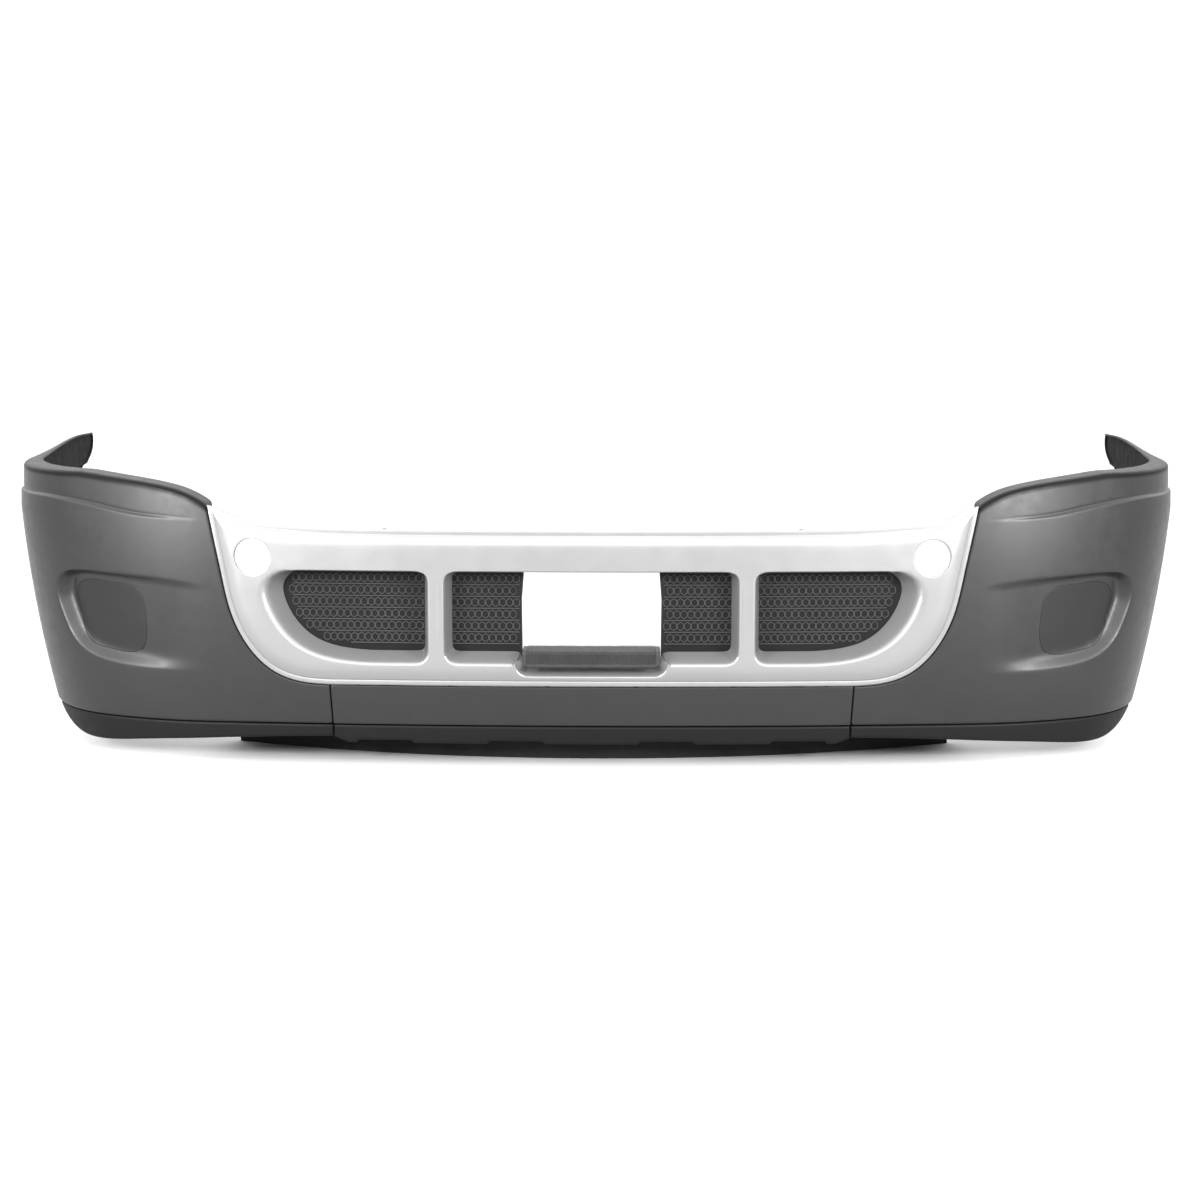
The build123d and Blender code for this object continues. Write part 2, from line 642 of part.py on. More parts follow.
def make_end_cover():
    """Right end cover: skin, top rim, seam and rear returns, scoop and lamp aperture."""
    with BuildPart() as region:
        add(front_prism(end_outline()))
        add(side_prism(end_side_outline()), mode=Mode.INTERSECT)
    whole = region.part
    below_rim = Pos(3, 0, -SKIN) * whole
    above_sill = Pos(0, 0, SKIN) * whole
    scoop = front_prism(scoop_outline(0))
    scoop_core = front_prism(scoop_outline(SCOOP_WALL))
    floor_outer = Pos(-SCOOP_SHIFT, 0, 0) * inside(0)
    floor_inner = Pos(-SCOOP_SHIFT, 0, 0) * inside(SKIN)
    with BuildPart() as cover:
        add(patch(0, SKIN, whole) - scoop)
        add(patch(SKIN - LAP, RIM, whole) - below_rim - scoop)
        add(patch(SKIN - LAP, RETURN, whole) - above_sill - scoop)
        # walls and floor of the scoop
        add(patch(0, SCOOP_REACH, scoop) - scoop_core - floor_inner)
        add((floor_outer - floor_inner) & scoop & inside(0))
        add(front_prism(blank_outline(0)), mode=Mode.SUBTRACT)
        # studs for the end brace
        add(posts(across_planes(STUD_PLACES), STUD_RADIUS, 24))
        add(holes(across_planes(SEAM_SCREW_PLACES), SCREW_RADIUS, 8), mode=Mode.SUBTRACT)
        add(holes(up_planes(LIP_SCREW_PLACES), SCREW_RADIUS, 8), mode=Mode.SUBTRACT)
    return cover.part


def make_fog_blank():
    """Right fog-lamp blank: flush plate with three straight snap legs."""
    plate_outer = Pos(-SCOOP_SHIFT, -BLANK_STAND, 0) * inside(0)
    plate_inner = Pos(-SCOOP_SHIFT, -BLANK_STAND, 0) * inside(3)
    length = BLANK_LEG_LENGTH
    with BuildPart() as blank:
        add((plate_outer - plate_inner) & front_prism(blank_outline(BLANK_GAP)))
        for x, z, size_x, size_z in BLANK_LEGS:
            y = face_y(x + SCOOP_SHIFT, z) + 1
            low = (x - size_x / 2, y, z - size_z / 2)
            add(box_between(low, (low[0] + size_x, y + length, low[2] + size_z)))
    return blank.part


def make_lower_panel():
    """Lower centre panel with return flanges on all edges."""
    whole = front_prism(lower_panel_outline())
    with BuildPart() as panel:
        add(patch(0, SKIN, whole))
        add(patch(SKIN - LAP, 28, whole - Pos(0, 0, -3) * whole))
        add(patch(SKIN - LAP, RETURN, whole - Pos(0, 0, SKIN) * whole))
        add(patch(SKIN - LAP, PANEL_END, whole - Pos(3, 0, 0) * whole))
        add(patch(SKIN - LAP, PANEL_END, whole - Pos(-3, 0, 0) * whole))
        add(holes(up_planes(mirrored_x(TRIM_SCREW_PLACES)), SCREW_RADIUS, 8), mode=Mode.SUBTRACT)
        add(holes(across_planes(mirrored_x(SEAM_SCREW_PLACES)), SCREW_RADIUS, 8), mode=Mode.SUBTRACT)
        add(holes(up_planes(mirrored_x(LIP_SCREW_PLACES)), SCREW_RADIUS, 8), mode=Mode.SUBTRACT)
    return panel.part


def make_lip(outline):
    """Lower lip: skin with a top flange screwed up under the grey panels."""
    reach = box_between((-HALF_WIDTH, FRONT_Y - 20, 0), (HALF_WIDTH, FRONT_Y + LIP_END_Y, PARTING_Z))
    whole = front_prism(outline) & reach
    with BuildPart() as lip:
        add(patch(LIP_SETBACK, LIP_SETBACK + SKIN, whole))
        add(patch(SKIN, RETURN, whole - Pos(0, 0, -LIP_FLANGE) * whole))
        add(holes(up_planes(mirrored_x(LIP_SCREW_PLACES)), SCREW_RADIUS, 8), mode=Mode.SUBTRACT)
    return lip.part


def skirt_plan(low_x, high_x):
    """Plan of the curved wall of one length of the skirt."""
    centre_y = FRONT_Y + SKIRT_SETBACK + SKIRT_RADIUS
    with BuildSketch() as plan:
        with Locations((0, centre_y)):
            Circle(SKIRT_RADIUS)
            Circle(SKIRT_RADIUS - SKIN, mode=Mode.SUBTRACT)
        with Locations(((low_x + high_x) / 2, FRONT_Y + 200)):
            Rectangle(high_x - low_x, 500, mode=Mode.INTERSECT)
    return plan.sketch


def make_skirt(low_x, high_x):
    """One length of the air dam: curved wall hung from a level shelf."""
    beam_front = FRONT_Y + LOWER_BEAM["front"]
    beam_back = FRONT_Y + LOWER_BEAM["back"]
    with BuildPart() as skirt:
        with BuildSketch(Plane.XY):
            add(skirt_plan(low_x, high_x))
        extrude(amount=SKIRT_HEIGHT)
        # shelf under the lower beam
        with BuildSketch(Plane.XY.offset(SKIRT_HEIGHT - SKIN)):
            with Locations(((low_x + high_x) / 2, (beam_front + beam_back) / 2)):
                Rectangle(high_x - low_x, beam_back - beam_front)
            if low_x > 0:
                # gusset from the shelf back to the wall
                wall = [(x, FRONT_Y + SKIRT_SETBACK + x**2 / (2 * SKIRT_RADIUS)) for x in (high_x, low_x)]
                with BuildLine():
                    Polyline((low_x, beam_back), (high_x, beam_back), *wall, close=True)
                make_face()
        extrude(amount=SKIN)
        add(holes(up_planes(mirrored_x(PIN_PLACES)), PIN_RADIUS, 6), mode=Mode.SUBTRACT)
    return skirt.part


def make_step_pad():
    """Rubber tread: front face and top of the step in one moulding."""
    front = FRONT_Y + PAD_FRONT
    back = FRONT_Y + PAD_BACK
    with BuildPart() as pad:
        with BuildSketch(Plane.YZ):
            with BuildLine():
                Polyline((front, PAD_BOTTOM), (front, PAD_TOP), (back, PAD_TOP),
                         (back, PAD_TOP - PAD_SKIN), (front + PAD_SKIN, PAD_TOP - PAD_SKIN),
                         (front + PAD_SKIN, PAD_BOTTOM), close=True)
            make_face()
        extrude(amount=PAD_HALF, both=True)
        top_edge = pad.edges().filter_by(Axis.X).group_by(Axis.Y)[0].sort_by(Axis.Z)[-1]
        fillet(top_edge, 6)
        fillet(pad.edges().filter_by(Axis.Y).group_by(Axis.Z)[0], 14)
    return pad.part


# ================================================================================
# Steel work
# ================================================================================
def make_beam(beam):
    """Rectangular tube across the truck, drilled for bolts, clips and pins."""
    depth = beam["back"] - beam["front"]
    height = beam["high"] - beam["low"]
    middle = (FRONT_Y + beam["front"] + depth / 2, beam["low"] + height / 2)
    with BuildPart() as tube:
        with BuildSketch(Plane.YZ):
            with Locations(middle):
                RectangleRounded(depth, height, 8)
                RectangleRounded(depth - 2 * TUBE_WALL, height - 2 * TUBE_WALL, 4, mode=Mode.SUBTRACT)
        extrude(amount=beam["half"], both=True)
        add(holes(back_planes(mirrored_x(BEAM_BOLT_PLACES)), BOLT_RADIUS, 10), mode=Mode.SUBTRACT)
        add(holes(back_planes(mirrored_x(CLIP_PLACES)), CLIP_RADIUS, 12), mode=Mode.SUBTRACT)
        add(holes(up_planes(mirrored_x(PIN_PLACES)), PIN_RADIUS, 6), mode=Mode.SUBTRACT)
    return tube.part


def make_frame_bracket():
    """Right frame bracket: side plate for the frame rail and a foot on each beam."""
    front = FRONT_Y + UPPER_BEAM["back"]
    centre_y, centre_z = FRAME_HOLES_AT
    with BuildPart() as bracket:
        with BuildSketch(Plane.YZ.offset(FRAME_RAIL_X)):
            with BuildLine():
                Polyline((front, FEET[0][0]), (front, FEET[1][1]),
                         *[(FRONT_Y + back, z) for back, z in BRACKET_EDGE], close=True)
            make_face()
            with Locations((FRONT_Y + centre_y, centre_z)):
                with GridLocations(FRAME_HOLES_Y, FRAME_HOLES_Z, 2, 2):
                    Circle(FRAME_HOLE_RADIUS, mode=Mode.SUBTRACT)
        extrude(amount=PLATE)
        for low, high in FEET:
            foot_end = (FRAME_RAIL_X + FOOT_HALF, front + PLATE, high)
            add(box_between((FRAME_RAIL_X - FOOT_HALF, front, low), foot_end))
        add(holes(back_planes(BEAM_BOLT_PLACES), BOLT_RADIUS, 10), mode=Mode.SUBTRACT)
        add(holes(across_planes(BRACE_BOLT_PLACES), BOLT_RADIUS, 12), mode=Mode.SUBTRACT)
    return bracket.part


def make_end_brace():
    """Right end brace: round bar between the bracket and the studs of the end cover."""
    eye_x = FRAME_RAIL_X + PLATE
    eye_low = (eye_x, FRONT_Y + EYE_PLATE["front"], BRACE_Z - EYE_PLATE["half_height"])
    eye_high = (eye_x + EYE_PLATE["thick"], FRONT_Y + EYE_PLATE["back"], BRACE_Z + EYE_PLATE["half_height"])
    start = Vector(eye_x + EYE_PLATE["thick"] - 1, FRONT_Y + BRACE_BAR_Y, BRACE_Z)
    end = Vector(side_x(SHOE_Y, BRACE_Z) - SKIN - SHOE["thick"] / 2, SHOE_Y, BRACE_Z)
    along = (end - start).normalized()
    shoe = box_between((SHOE_INNER_X, SHOE_Y - SHOE["half_length"], BRACE_Z - SHOE["half_height"]),
                       (HALF_WIDTH, SHOE_Y + SHOE["half_length"], BRACE_Z + SHOE["half_height"]))
    with BuildPart() as brace:
        with BuildSketch(Plane(origin=start, z_dir=along)):
            Circle(BRACE_RADIUS)
        extrude(amount=(end - start).length)
        add(inside(SKIN + SHOE["thick"]), mode=Mode.INTERSECT)
        add(box_between(eye_low, eye_high))
        add(patch(SKIN + 1, SKIN + 1 + SHOE["thick"], shoe))
        add(holes(across_planes(BRACE_BOLT_PLACES), BOLT_RADIUS, 12), mode=Mode.SUBTRACT)
        add(holes(across_planes(STUD_PLACES), STUD_RADIUS, 25), mode=Mode.SUBTRACT)
    return brace.part


def make_step_support():
    """Folded bracket that carries the step pad from the lower beam."""
    beam_top = LOWER_BEAM["high"]
    shelf_top = PAD_TOP - PAD_SKIN - CLEARANCE
    front = FRONT_Y + SUPPORT_FRONT
    leg_front = FRONT_Y + SUPPORT_LEG_Y
    back = FRONT_Y + SUPPORT_BACK
    with BuildPart() as support:
        add(box_between((-SUPPORT_HALF, front, shelf_top - SHEET), (SUPPORT_HALF, back, shelf_top)))
        add(box_between((-SUPPORT_HALF, front, PAD_BOTTOM + 8), (SUPPORT_HALF, front + SHEET, shelf_top)))
        for x in (-SUPPORT_LEG_X, SUPPORT_LEG_X - SHEET):
            add(box_between((x, leg_front, beam_top), (x + SHEET, back, shelf_top)))
        add(box_between((-SUPPORT_LEG_X, leg_front, beam_top), (SUPPORT_LEG_X, back, beam_top + SHEET)))
    return support.part


# ================================================================================
# Build every piece and write it
# ================================================================================
def mirrored(part):
    """Mirror image across the centre plane."""
    with BuildPart() as image:
        add(mirror(part, about=Plane.YZ, mode=Mode.PRIVATE))
    return image.part


def pair(right, name):
    """Write a right-hand piece and its mirror image."""
    finish(right, f"right_{name}")
    finish(mirrored(right), f"left_{name}")


def main():
    finish(make_center_trim(), "center_trim")
    pair(make_grille_insert(), "grille_insert")
    pair(make_end_cover(), "end_cover")
    pair(make_fog_blank(), "fog_blank")
    finish(make_lower_panel(), "lower_center_panel")
    finish(make_lip(centre_lip_outline()), "center_lip")
    pair(make_lip(side_lip_outline()), "lip")
    finish(make_skirt(-SKIRT_SEAM_X, SKIRT_SEAM_X), "center_skirt")
    pair(make_skirt(SKIRT_SEAM_X + SKIRT_GAP, SKIRT_HALF), "skirt")
    finish(make_step_pad(), "step_pad")
    finish(make_step_support(), "step_support")
    finish(make_beam(UPPER_BEAM), "upper_beam")
    finish(make_beam(LOWER_BEAM), "lower_beam")
    pair(make_frame_bracket(), "frame_bracket")
    pair(make_end_brace(), "end_brace")
    for name, pieces in make_fasteners().items():
        with BuildPart() as group:
            for piece in pieces:
                add(piece)
                add(mirrored(piece))
        finish(group.part, name)


main()
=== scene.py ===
"""Front bumper cover of a heavy road truck: its looks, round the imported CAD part.

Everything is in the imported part's frame, in metres: X to the right as seen from the
front, front face towards -Y, +Z up. A moulding is drawn on the bumper's outer surface,
where s is the length along the surface from the centre plane, z is the height, and h is
how far a point stands out from the surface.
"""
import math

import bmesh
import bpy
import numpy as np
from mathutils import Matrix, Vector
from mathutils.geometry import delaunay_2d_cdt


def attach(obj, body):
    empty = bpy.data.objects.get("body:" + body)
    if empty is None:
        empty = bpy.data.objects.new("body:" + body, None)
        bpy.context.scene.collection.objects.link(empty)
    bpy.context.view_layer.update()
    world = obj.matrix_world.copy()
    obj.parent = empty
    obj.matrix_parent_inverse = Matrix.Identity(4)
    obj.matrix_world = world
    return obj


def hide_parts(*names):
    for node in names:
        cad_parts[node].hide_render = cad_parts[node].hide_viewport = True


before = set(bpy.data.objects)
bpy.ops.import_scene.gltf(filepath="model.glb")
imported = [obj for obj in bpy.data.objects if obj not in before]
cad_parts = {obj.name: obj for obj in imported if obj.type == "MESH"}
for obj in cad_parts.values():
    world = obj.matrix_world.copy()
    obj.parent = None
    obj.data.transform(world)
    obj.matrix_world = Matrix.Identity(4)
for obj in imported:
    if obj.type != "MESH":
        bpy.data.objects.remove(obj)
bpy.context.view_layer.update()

# ---- the outer surface, as in the CAD part -------------------------------------
HALF_WIDTH = 1.250
WAIST_HEIGHT = 0.500
SIDE_SLOPE = 0.12
SIDE_CURVE = 0.13
LEAN_HEIGHT = 0.230
FRONT_LEAN = 0.25
FRONT_Y = -0.439
FRONT_RADIUS = 9.0
CORNER_RADIUS = 0.285
TURN_1 = math.radians(5)       # heading where the front arc ends
TURN_2 = math.radians(25)      # heading where the shoulder arc ends
TURN_3 = math.radians(92)      # heading of the side wall
FRONT_END_X = FRONT_RADIUS * math.sin(TURN_1)
FRONT_END_S = FRONT_RADIUS * TURN_1

# ---- mouldings -----------------------------------------------------------------
DOME = 0.012                   # the silver trim stands this far proud
BEAD_HEIGHT = 0.004
BEAD = 0.0105                  # width of the flat bead round the trim
GAP = 0.0015                   # between neighbouring mouldings
PARTING_Z = 0.084              # top of the lips
TRIM_BOTTOM = 0.168
SEAM_TOP_X = 0.536
SEAM_BOTTOM_X = 0.5315
OPENING_TOP = 0.397
OPENING_BOTTOM = 0.233
OPENING_FLAT_X = 0.454
OPENING_DEPTH = 0.0395
PILLAR_X = 0.315
PILLAR_HALF = 0.028
WINDOW_HALF = 0.142
TOW_HOLE = (0.690, 0.430)      # X and Z of its middle
TOW_RADIUS = 0.037
INSERT_DEPTH = 0.040           # grille plates, behind the outer surface
SCOOP_SHIFT = 0.045            # how far inboard the scoop's floor is moved
SCOOP_START = 0.775            # where the scoop starts to sink in, along s
SCOOP_FADE = 0.15
TOP_ROLL = 0.009               # radius of the end covers' rolled top edge
LIP_END_X = 1.158
PAD_HALF = 0.140
PAD_BOTTOM = 0.208
PAD_TOP = 0.243
PAD_FRONT = FRONT_Y - 0.015
PAD_BACK = FRONT_Y + 0.052


def mm(*points):
    """Points given in millimetres, in metres."""
    return np.array(points, float) / 1000.0


# Edges seen from the front, as (x, z), except the two that are seen from the side
SEAM_CURVE = mm((536, 168), (600, 174), (650, 193), (700, 240), (738, 315), (757, 395), (772, 465),
                (786, 532))
TOP_CURVE = mm((786, 532), (758, 524), (717, 506), (660, 497), (560, 490), (430, 487), (200, 486),
               (0, 486))
D_END_CURVE = mm((612, 397), (636, 375), (631, 330), (612, 296), (574, 260), (520, 240), (454, 233))
END_TOP_CURVE = mm((1068, 592), (973, 582), (885, 570), (832, 556), (812, 547), (796, 538), (787, 532))
# These two are seen from the side, as (set-back from FRONT_Y, z)
REAR_CURVE = mm((478, 84), (540, 200), (650, 370), (815, 535), (888, 590), (886, 603), (862, 609))
SIDE_TOP_CURVE = mm((862, 609), (740, 613), (575, 603), (405, 595), (250, 592))
# And these from the front again
SCOOP_CURVE = mm((775, 366), (829, 374), (930, 384), (1019, 389), (1078, 389), (1114, 377), (1126, 345),
                 (1112, 292), (1085, 242), (1050, 216), (1000, 202), (914, 194), (775, 190))
BLANK_CURVE = mm((958, 364), (1010, 367), (1060, 368), (1086, 357), (1095, 338), (1090, 305), (1079, 266),
                 (1056, 238), (1009, 225), (962, 221), (934, 229), (923, 262), (925, 312), (938, 352))
LIP_CURVE = mm((532, 57), (640, 54), (812, 46), (945, 36), (1041, 27), (1090, 31), (1126, 49), (1158, 82))
CREASE_CURVE = mm((760, 497), (885, 502), (952, 508), (1017, 519), (1063, 526), (1111, 532), (1165, 535),
                  (1196, 534))


# ============================================================
# The outer surface
# ============================================================
def shoulder(z):
    """X where the shoulder arc ends at height z, and the arc's radius."""
    drop = np.maximum(0.0, WAIST_HEIGHT - z)
    half_width = HALF_WIDTH - SIDE_SLOPE * drop - SIDE_CURVE * drop**2
    end_x = half_width - CORNER_RADIUS * (1 - math.sin(TURN_2))
    return end_x, (end_x - FRONT_END_X) / (math.sin(TURN_2) - math.sin(TURN_1))


def along_arcs(s, z):
    """How much of s lies on the front, shoulder and corner arcs and the side wall."""
    radius = shoulder(z)[1]
    end_2 = FRONT_END_S + radius * (TURN_2 - TURN_1)
    end_3 = end_2 + CORNER_RADIUS * (TURN_3 - TURN_2)
    front = np.minimum(s, FRONT_END_S)
    bend = np.clip(s - FRONT_END_S, 0, end_2 - FRONT_END_S)
    corner = np.clip(s - end_2, 0, end_3 - end_2)
    return front, bend, corner, np.maximum(0, s - end_3), radius


def place(points, h):
    """Points (s, z) that stand h out from the outer surface, as X, Y, Z."""
    side = np.where(points[:, 0] < 0, -1.0, 1.0)
    z = points[:, 1]
    front, bend, corner, wall, radius = along_arcs(np.abs(points[:, 0]), z)
    turn_1 = front / FRONT_RADIUS
    turn_2 = TURN_1 + bend / radius
    turn_3 = TURN_2 + corner / CORNER_RADIUS
    x = FRONT_RADIUS * np.sin(turn_1) + radius * (np.sin(turn_2) - math.sin(TURN_1))
    x += CORNER_RADIUS * (np.sin(turn_3) - math.sin(TURN_2)) + wall * math.cos(TURN_3)
    y = FRONT_Y + FRONT_LEAN * (z - LEAN_HEIGHT) ** 2 + FRONT_RADIUS * (1 - np.cos(turn_1))
    y += radius * (math.cos(TURN_1) - np.cos(turn_2))
    y += CORNER_RADIUS * (math.cos(TURN_2) - np.cos(turn_3)) + wall * math.sin(TURN_3)
    turn = turn_1 + bend / radius + corner / CORNER_RADIUS
    return np.stack([side * (x + h * np.sin(turn)), y - h * np.cos(turn), z], axis=1)


def heading(points):
    """Heading of the outer surface at points (s, z)."""
    front, bend, corner, _, radius = along_arcs(np.abs(points[:, 0]), points[:, 1])
    return front / FRONT_RADIUS + bend / radius + corner / CORNER_RADIUS


def from_front(points):
    """Points (x, z) seen from the front, as (s, z) on the surface."""
    x, z = np.abs(points[:, 0]), points[:, 1]
    end_x, radius = shoulder(z)
    bend = np.clip(x - FRONT_END_X, 0, end_x - FRONT_END_X)
    corner = np.maximum(0, x - end_x)
    s = FRONT_RADIUS * np.arcsin(np.minimum(x, FRONT_END_X) / FRONT_RADIUS)
    s += radius * (np.arcsin(math.sin(TURN_1) + bend / radius) - TURN_1)
    s += CORNER_RADIUS * (np.arcsin(np.minimum(1, math.sin(TURN_2) + corner / CORNER_RADIUS)) - TURN_2)
    return np.stack([np.where(points[:, 0] < 0, -s, s), z], axis=1)


def from_side(points):
    """Points (set-back from FRONT_Y, z) seen from the side, as (s, z) on the surface."""
    back, z = points[:, 0], points[:, 1]
    radius = shoulder(z)[1]
    y_2 = FRONT_LEAN * (z - LEAN_HEIGHT) ** 2 + FRONT_RADIUS * (1 - math.cos(TURN_1))
    y_2 += radius * (math.cos(TURN_1) - math.cos(TURN_2))
    y_3 = y_2 + CORNER_RADIUS * (math.cos(TURN_2) - math.cos(TURN_3))
    on_corner = np.clip(back, y_2, y_3) - y_2
    turn = np.arccos(math.cos(TURN_2) - on_corner / CORNER_RADIUS)
    s = FRONT_END_S + radius * (TURN_2 - TURN_1) + CORNER_RADIUS * (turn - TURN_2)
    s += np.maximum(0, back - y_3) / math.sin(TURN_3)
    return np.stack([s, z], axis=1)


# ============================================================
# Outlines: dense loops of (s, z) points, anticlockwise
# ============================================================
def smooth(points, spacing=0.004):
    """Smooth curve through the points, as points about that far apart."""
    points = np.asarray(points, float)
    chord = np.concatenate([[0], np.cumsum(np.linalg.norm(np.diff(points, axis=0), axis=1))])
    gaps = np.diff(chord)
    count = len(points)
    left = np.eye(count)
    right = np.zeros((count, 2))
    for i in range(1, count - 1):
        left[i, i - 1:i + 2] = gaps[i - 1], 2 * (gaps[i - 1] + gaps[i]), gaps[i]
        slopes = (points[i + 1] - points[i]) / gaps[i] - (points[i] - points[i - 1]) / gaps[i - 1]
        right[i] = 6 * slopes
    bend = np.linalg.solve(left, right)
    t = np.linspace(0, chord[-1], max(2, int(chord[-1] / spacing) + 1))
    k = np.clip(np.searchsorted(chord, t, side="right") - 1, 0, count - 2)
    gap, a, b = gaps[k][:, None], (chord[k + 1] - t)[:, None], (t - chord[k])[:, None]
    curve = (bend[k] * a**3 + bend[k + 1] * b**3) / (6 * gap)
    curve += (points[k] / gap - bend[k] * gap / 6) * a
    return curve + (points[k + 1] / gap - bend[k + 1] * gap / 6) * b


def join(*runs, spacing=0.004):
    """One closed loop through the runs, with straight stretches filled in."""
    corners = np.concatenate([np.atleast_2d(run) for run in runs])
    corners = corners[np.linalg.norm(corners - np.roll(corners, 1, axis=0), axis=1) > 1e-5]
    loop = []
    for start, end in zip(corners, np.roll(corners, -1, axis=0)):
        steps = max(1, int(round(np.linalg.norm(end - start) / spacing)))
        loop += [start + (end - start) * i / steps for i in range(steps)]
    return anticlockwise(np.array(loop))


def anticlockwise(loop):
    """The loop, turned round if it runs clockwise."""
    following = np.roll(loop, -1, axis=0)
    area = np.sum(loop[:, 0] * following[:, 1] - following[:, 0] * loop[:, 1])
    return loop if area > 0 else loop[::-1]


def softened(loop, rounds=12):
    """The loop with its sharp corners rounded."""
    for _ in range(rounds):
        loop = (np.roll(loop, 1, axis=0) + 2 * loop + np.roll(loop, -1, axis=0)) / 4
    return loop


def flipped(points):
    """Mirror image across the centre plane."""
    return points[::-1] * (-1, 1)


def moved(loop, distance, closed=True):
    """The loop moved out by distance along its normals, or an open line to its right."""
    along = np.roll(loop, -1, axis=0) - np.roll(loop, 1, axis=0) if closed else np.gradient(loop, axis=0)
    along /= np.linalg.norm(along, axis=1)[:, None] + 1e-12
    return loop + distance * np.stack([along[:, 1], -along[:, 0]], axis=1)


def nearest(points, loop, closed=True):
    """Distance from each point to the line, and the direction away from it."""
    batch = 2000                   # keeps the arrays small
    start = loop if closed else loop[:-1]
    span = (np.roll(loop, -1, axis=0) if closed else loop[1:]) - start
    size = np.maximum((span**2).sum(axis=1), 1e-18)
    distance = np.empty(len(points))
    away = np.empty((len(points), 2))
    for low in range(0, len(points), batch):
        part = points[low:low + batch, None, :] - start[None]
        t = np.clip((part * span[None]).sum(axis=2) / size, 0, 1)
        gap = part - t[:, :, None] * span[None]
        square = (gap**2).sum(axis=2)
        best = square.argmin(axis=1)
        rows = np.arange(len(best))
        distance[low:low + batch] = np.sqrt(square[rows, best])
        away[low:low + batch] = gap[rows, best]
    return distance, away / (distance[:, None] + 1e-9)


def contains(loop, points):
    """True where a point is inside the loop."""
    x, y = points[:, 0], points[:, 1]
    inside = np.zeros(len(points), bool)
    for (x1, y1), (x2, y2) in zip(loop, np.roll(loop, -1, axis=0)):
        if y1 != y2:
            crosses = (y1 > y) != (y2 > y)
            inside ^= crosses & (x < (x2 - x1) * (y - y1) / (y2 - y1) + x1)
    return inside


def eased(t):
    """Smooth step from 0 to 1."""
    t = np.clip(t, 0, 1)
    return t * t * (3 - 2 * t)


def soft_min(a, b, blend):
    """The lower of a and b, with the crossing rounded over."""
    share = np.clip(0.5 + 0.5 * (b - a) / blend, 0, 1)
    return b + (a - b) * share - blend * share * (1 - share)


def rounded_edge(distance, radius):
    """Drop of a quarter round of that radius along an edge."""
    short = np.clip(radius - distance, 0, radius)
    return radius - np.sqrt(radius**2 - short**2)


def trim_outline():
    """Edge of the silver trim."""
    seam = smooth(SEAM_CURVE)
    top = smooth(np.concatenate([TOP_CURVE, flipped(TOP_CURVE)[1:]]))
    return from_front(join(seam, top[1:-1], flipped(seam)))


def outer_opening():
    """Right D-ended opening of the trim."""
    edge_x = PILLAR_X + PILLAR_HALF
    corners = np.array([(OPENING_FLAT_X, OPENING_BOTTOM), (edge_x, OPENING_BOTTOM), (edge_x, OPENING_TOP)])
    return from_front(softened(join(smooth(D_END_CURVE), corners)))


def centre_opening():
    """Opening between the pillars, notched for the step pad."""
    edge_x = PILLAR_X - PILLAR_HALF
    notch_x = PAD_HALF + GAP
    notch_z = PAD_BOTTOM - GAP
    corners = np.array([(edge_x, OPENING_BOTTOM), (edge_x, OPENING_TOP), (-edge_x, OPENING_TOP),
                        (-edge_x, OPENING_BOTTOM), (-notch_x, OPENING_BOTTOM), (-notch_x, notch_z),
                        (notch_x, notch_z), (notch_x, OPENING_BOTTOM)])
    return from_front(softened(join(corners)))


def tow_hole(side):
    """Round tow-eye hole on one side."""
    turn = np.linspace(0, 2 * math.pi, 72, endpoint=False)
    ring = TOW_RADIUS * np.stack([np.cos(turn), np.sin(turn)], axis=1)
    return from_front(ring + (side * TOW_HOLE[0], TOW_HOLE[1]))


# ============================================================
# Meshes
# ============================================================
ROW_CLEARANCE = 0.0015         # guide rows stop this short of every edge


def fill_points(loops, distances, spacing, guides):
    """Points that follow every loop and guide line, and an even grid beyond them."""
    outer, holes = loops[0], loops[1:]
    found = []
    for distance in distances:
        for loop, sign in [(outer, -1)] + [(hole, 1) for hole in holes]:
            ring = moved(loop, sign * distance)
            keep = contains(outer, ring)
            for other in loops:
                keep &= nearest(ring, other)[0] > 0.93 * distance
            found.append(ring[keep])
    low, high = outer.min(axis=0), outer.max(axis=0)
    across = np.arange(low[0], high[0], spacing)
    rows = np.arange(low[1], high[1], spacing * 0.866)     # the height of an equal-sided triangle
    grid = np.array([(s + (k % 2) * spacing / 2, z) for k, z in enumerate(rows) for s in across])
    keep = contains(outer, grid)
    for loop in loops:
        keep &= nearest(grid, loop)[0] > distances[-1] + 0.5 * spacing
    for line, offsets in guides:
        for offset in offsets:
            row = moved(line, offset, closed=False)
            keep &= nearest(grid, row, closed=False)[0] > 0.5 * spacing
            clear = contains(outer, row)
            for loop in loops:
                clear &= nearest(row, loop)[0] > ROW_CLEARANCE
            found.append(row[clear])
    points = np.concatenate(found + [grid[keep]])
    for hole in holes:
        points = points[~contains(hole, points)]
    return points


def triangles(loops, points):
    """Triangles that fill the first loop outside the others, and each loop's vertices."""
    everything = np.concatenate(list(loops) + [points])
    edges, start = [], 0
    for loop in loops:
        edges += [(start + i, start + (i + 1) % len(loop)) for i in range(len(loop))]
        start += len(loop)
    made = delaunay_2d_cdt([Vector(p) for p in everything], edges, [], 0, 1e-7)
    flat = np.array([v[:] for v in made[0]])
    faces = np.array(made[2])
    middle = flat[faces].mean(axis=1)
    keep = contains(loops[0], middle)
    for hole in loops[1:]:
        keep &= ~contains(hole, middle)
    where = {old: new for new, olds in enumerate(made[3]) for old in olds}
    rims, start = [], 0
    for loop in loops:
        rims.append([where[start + i] for i in range(len(loop))])
        start += len(loop)
    return flat, faces[keep], rims


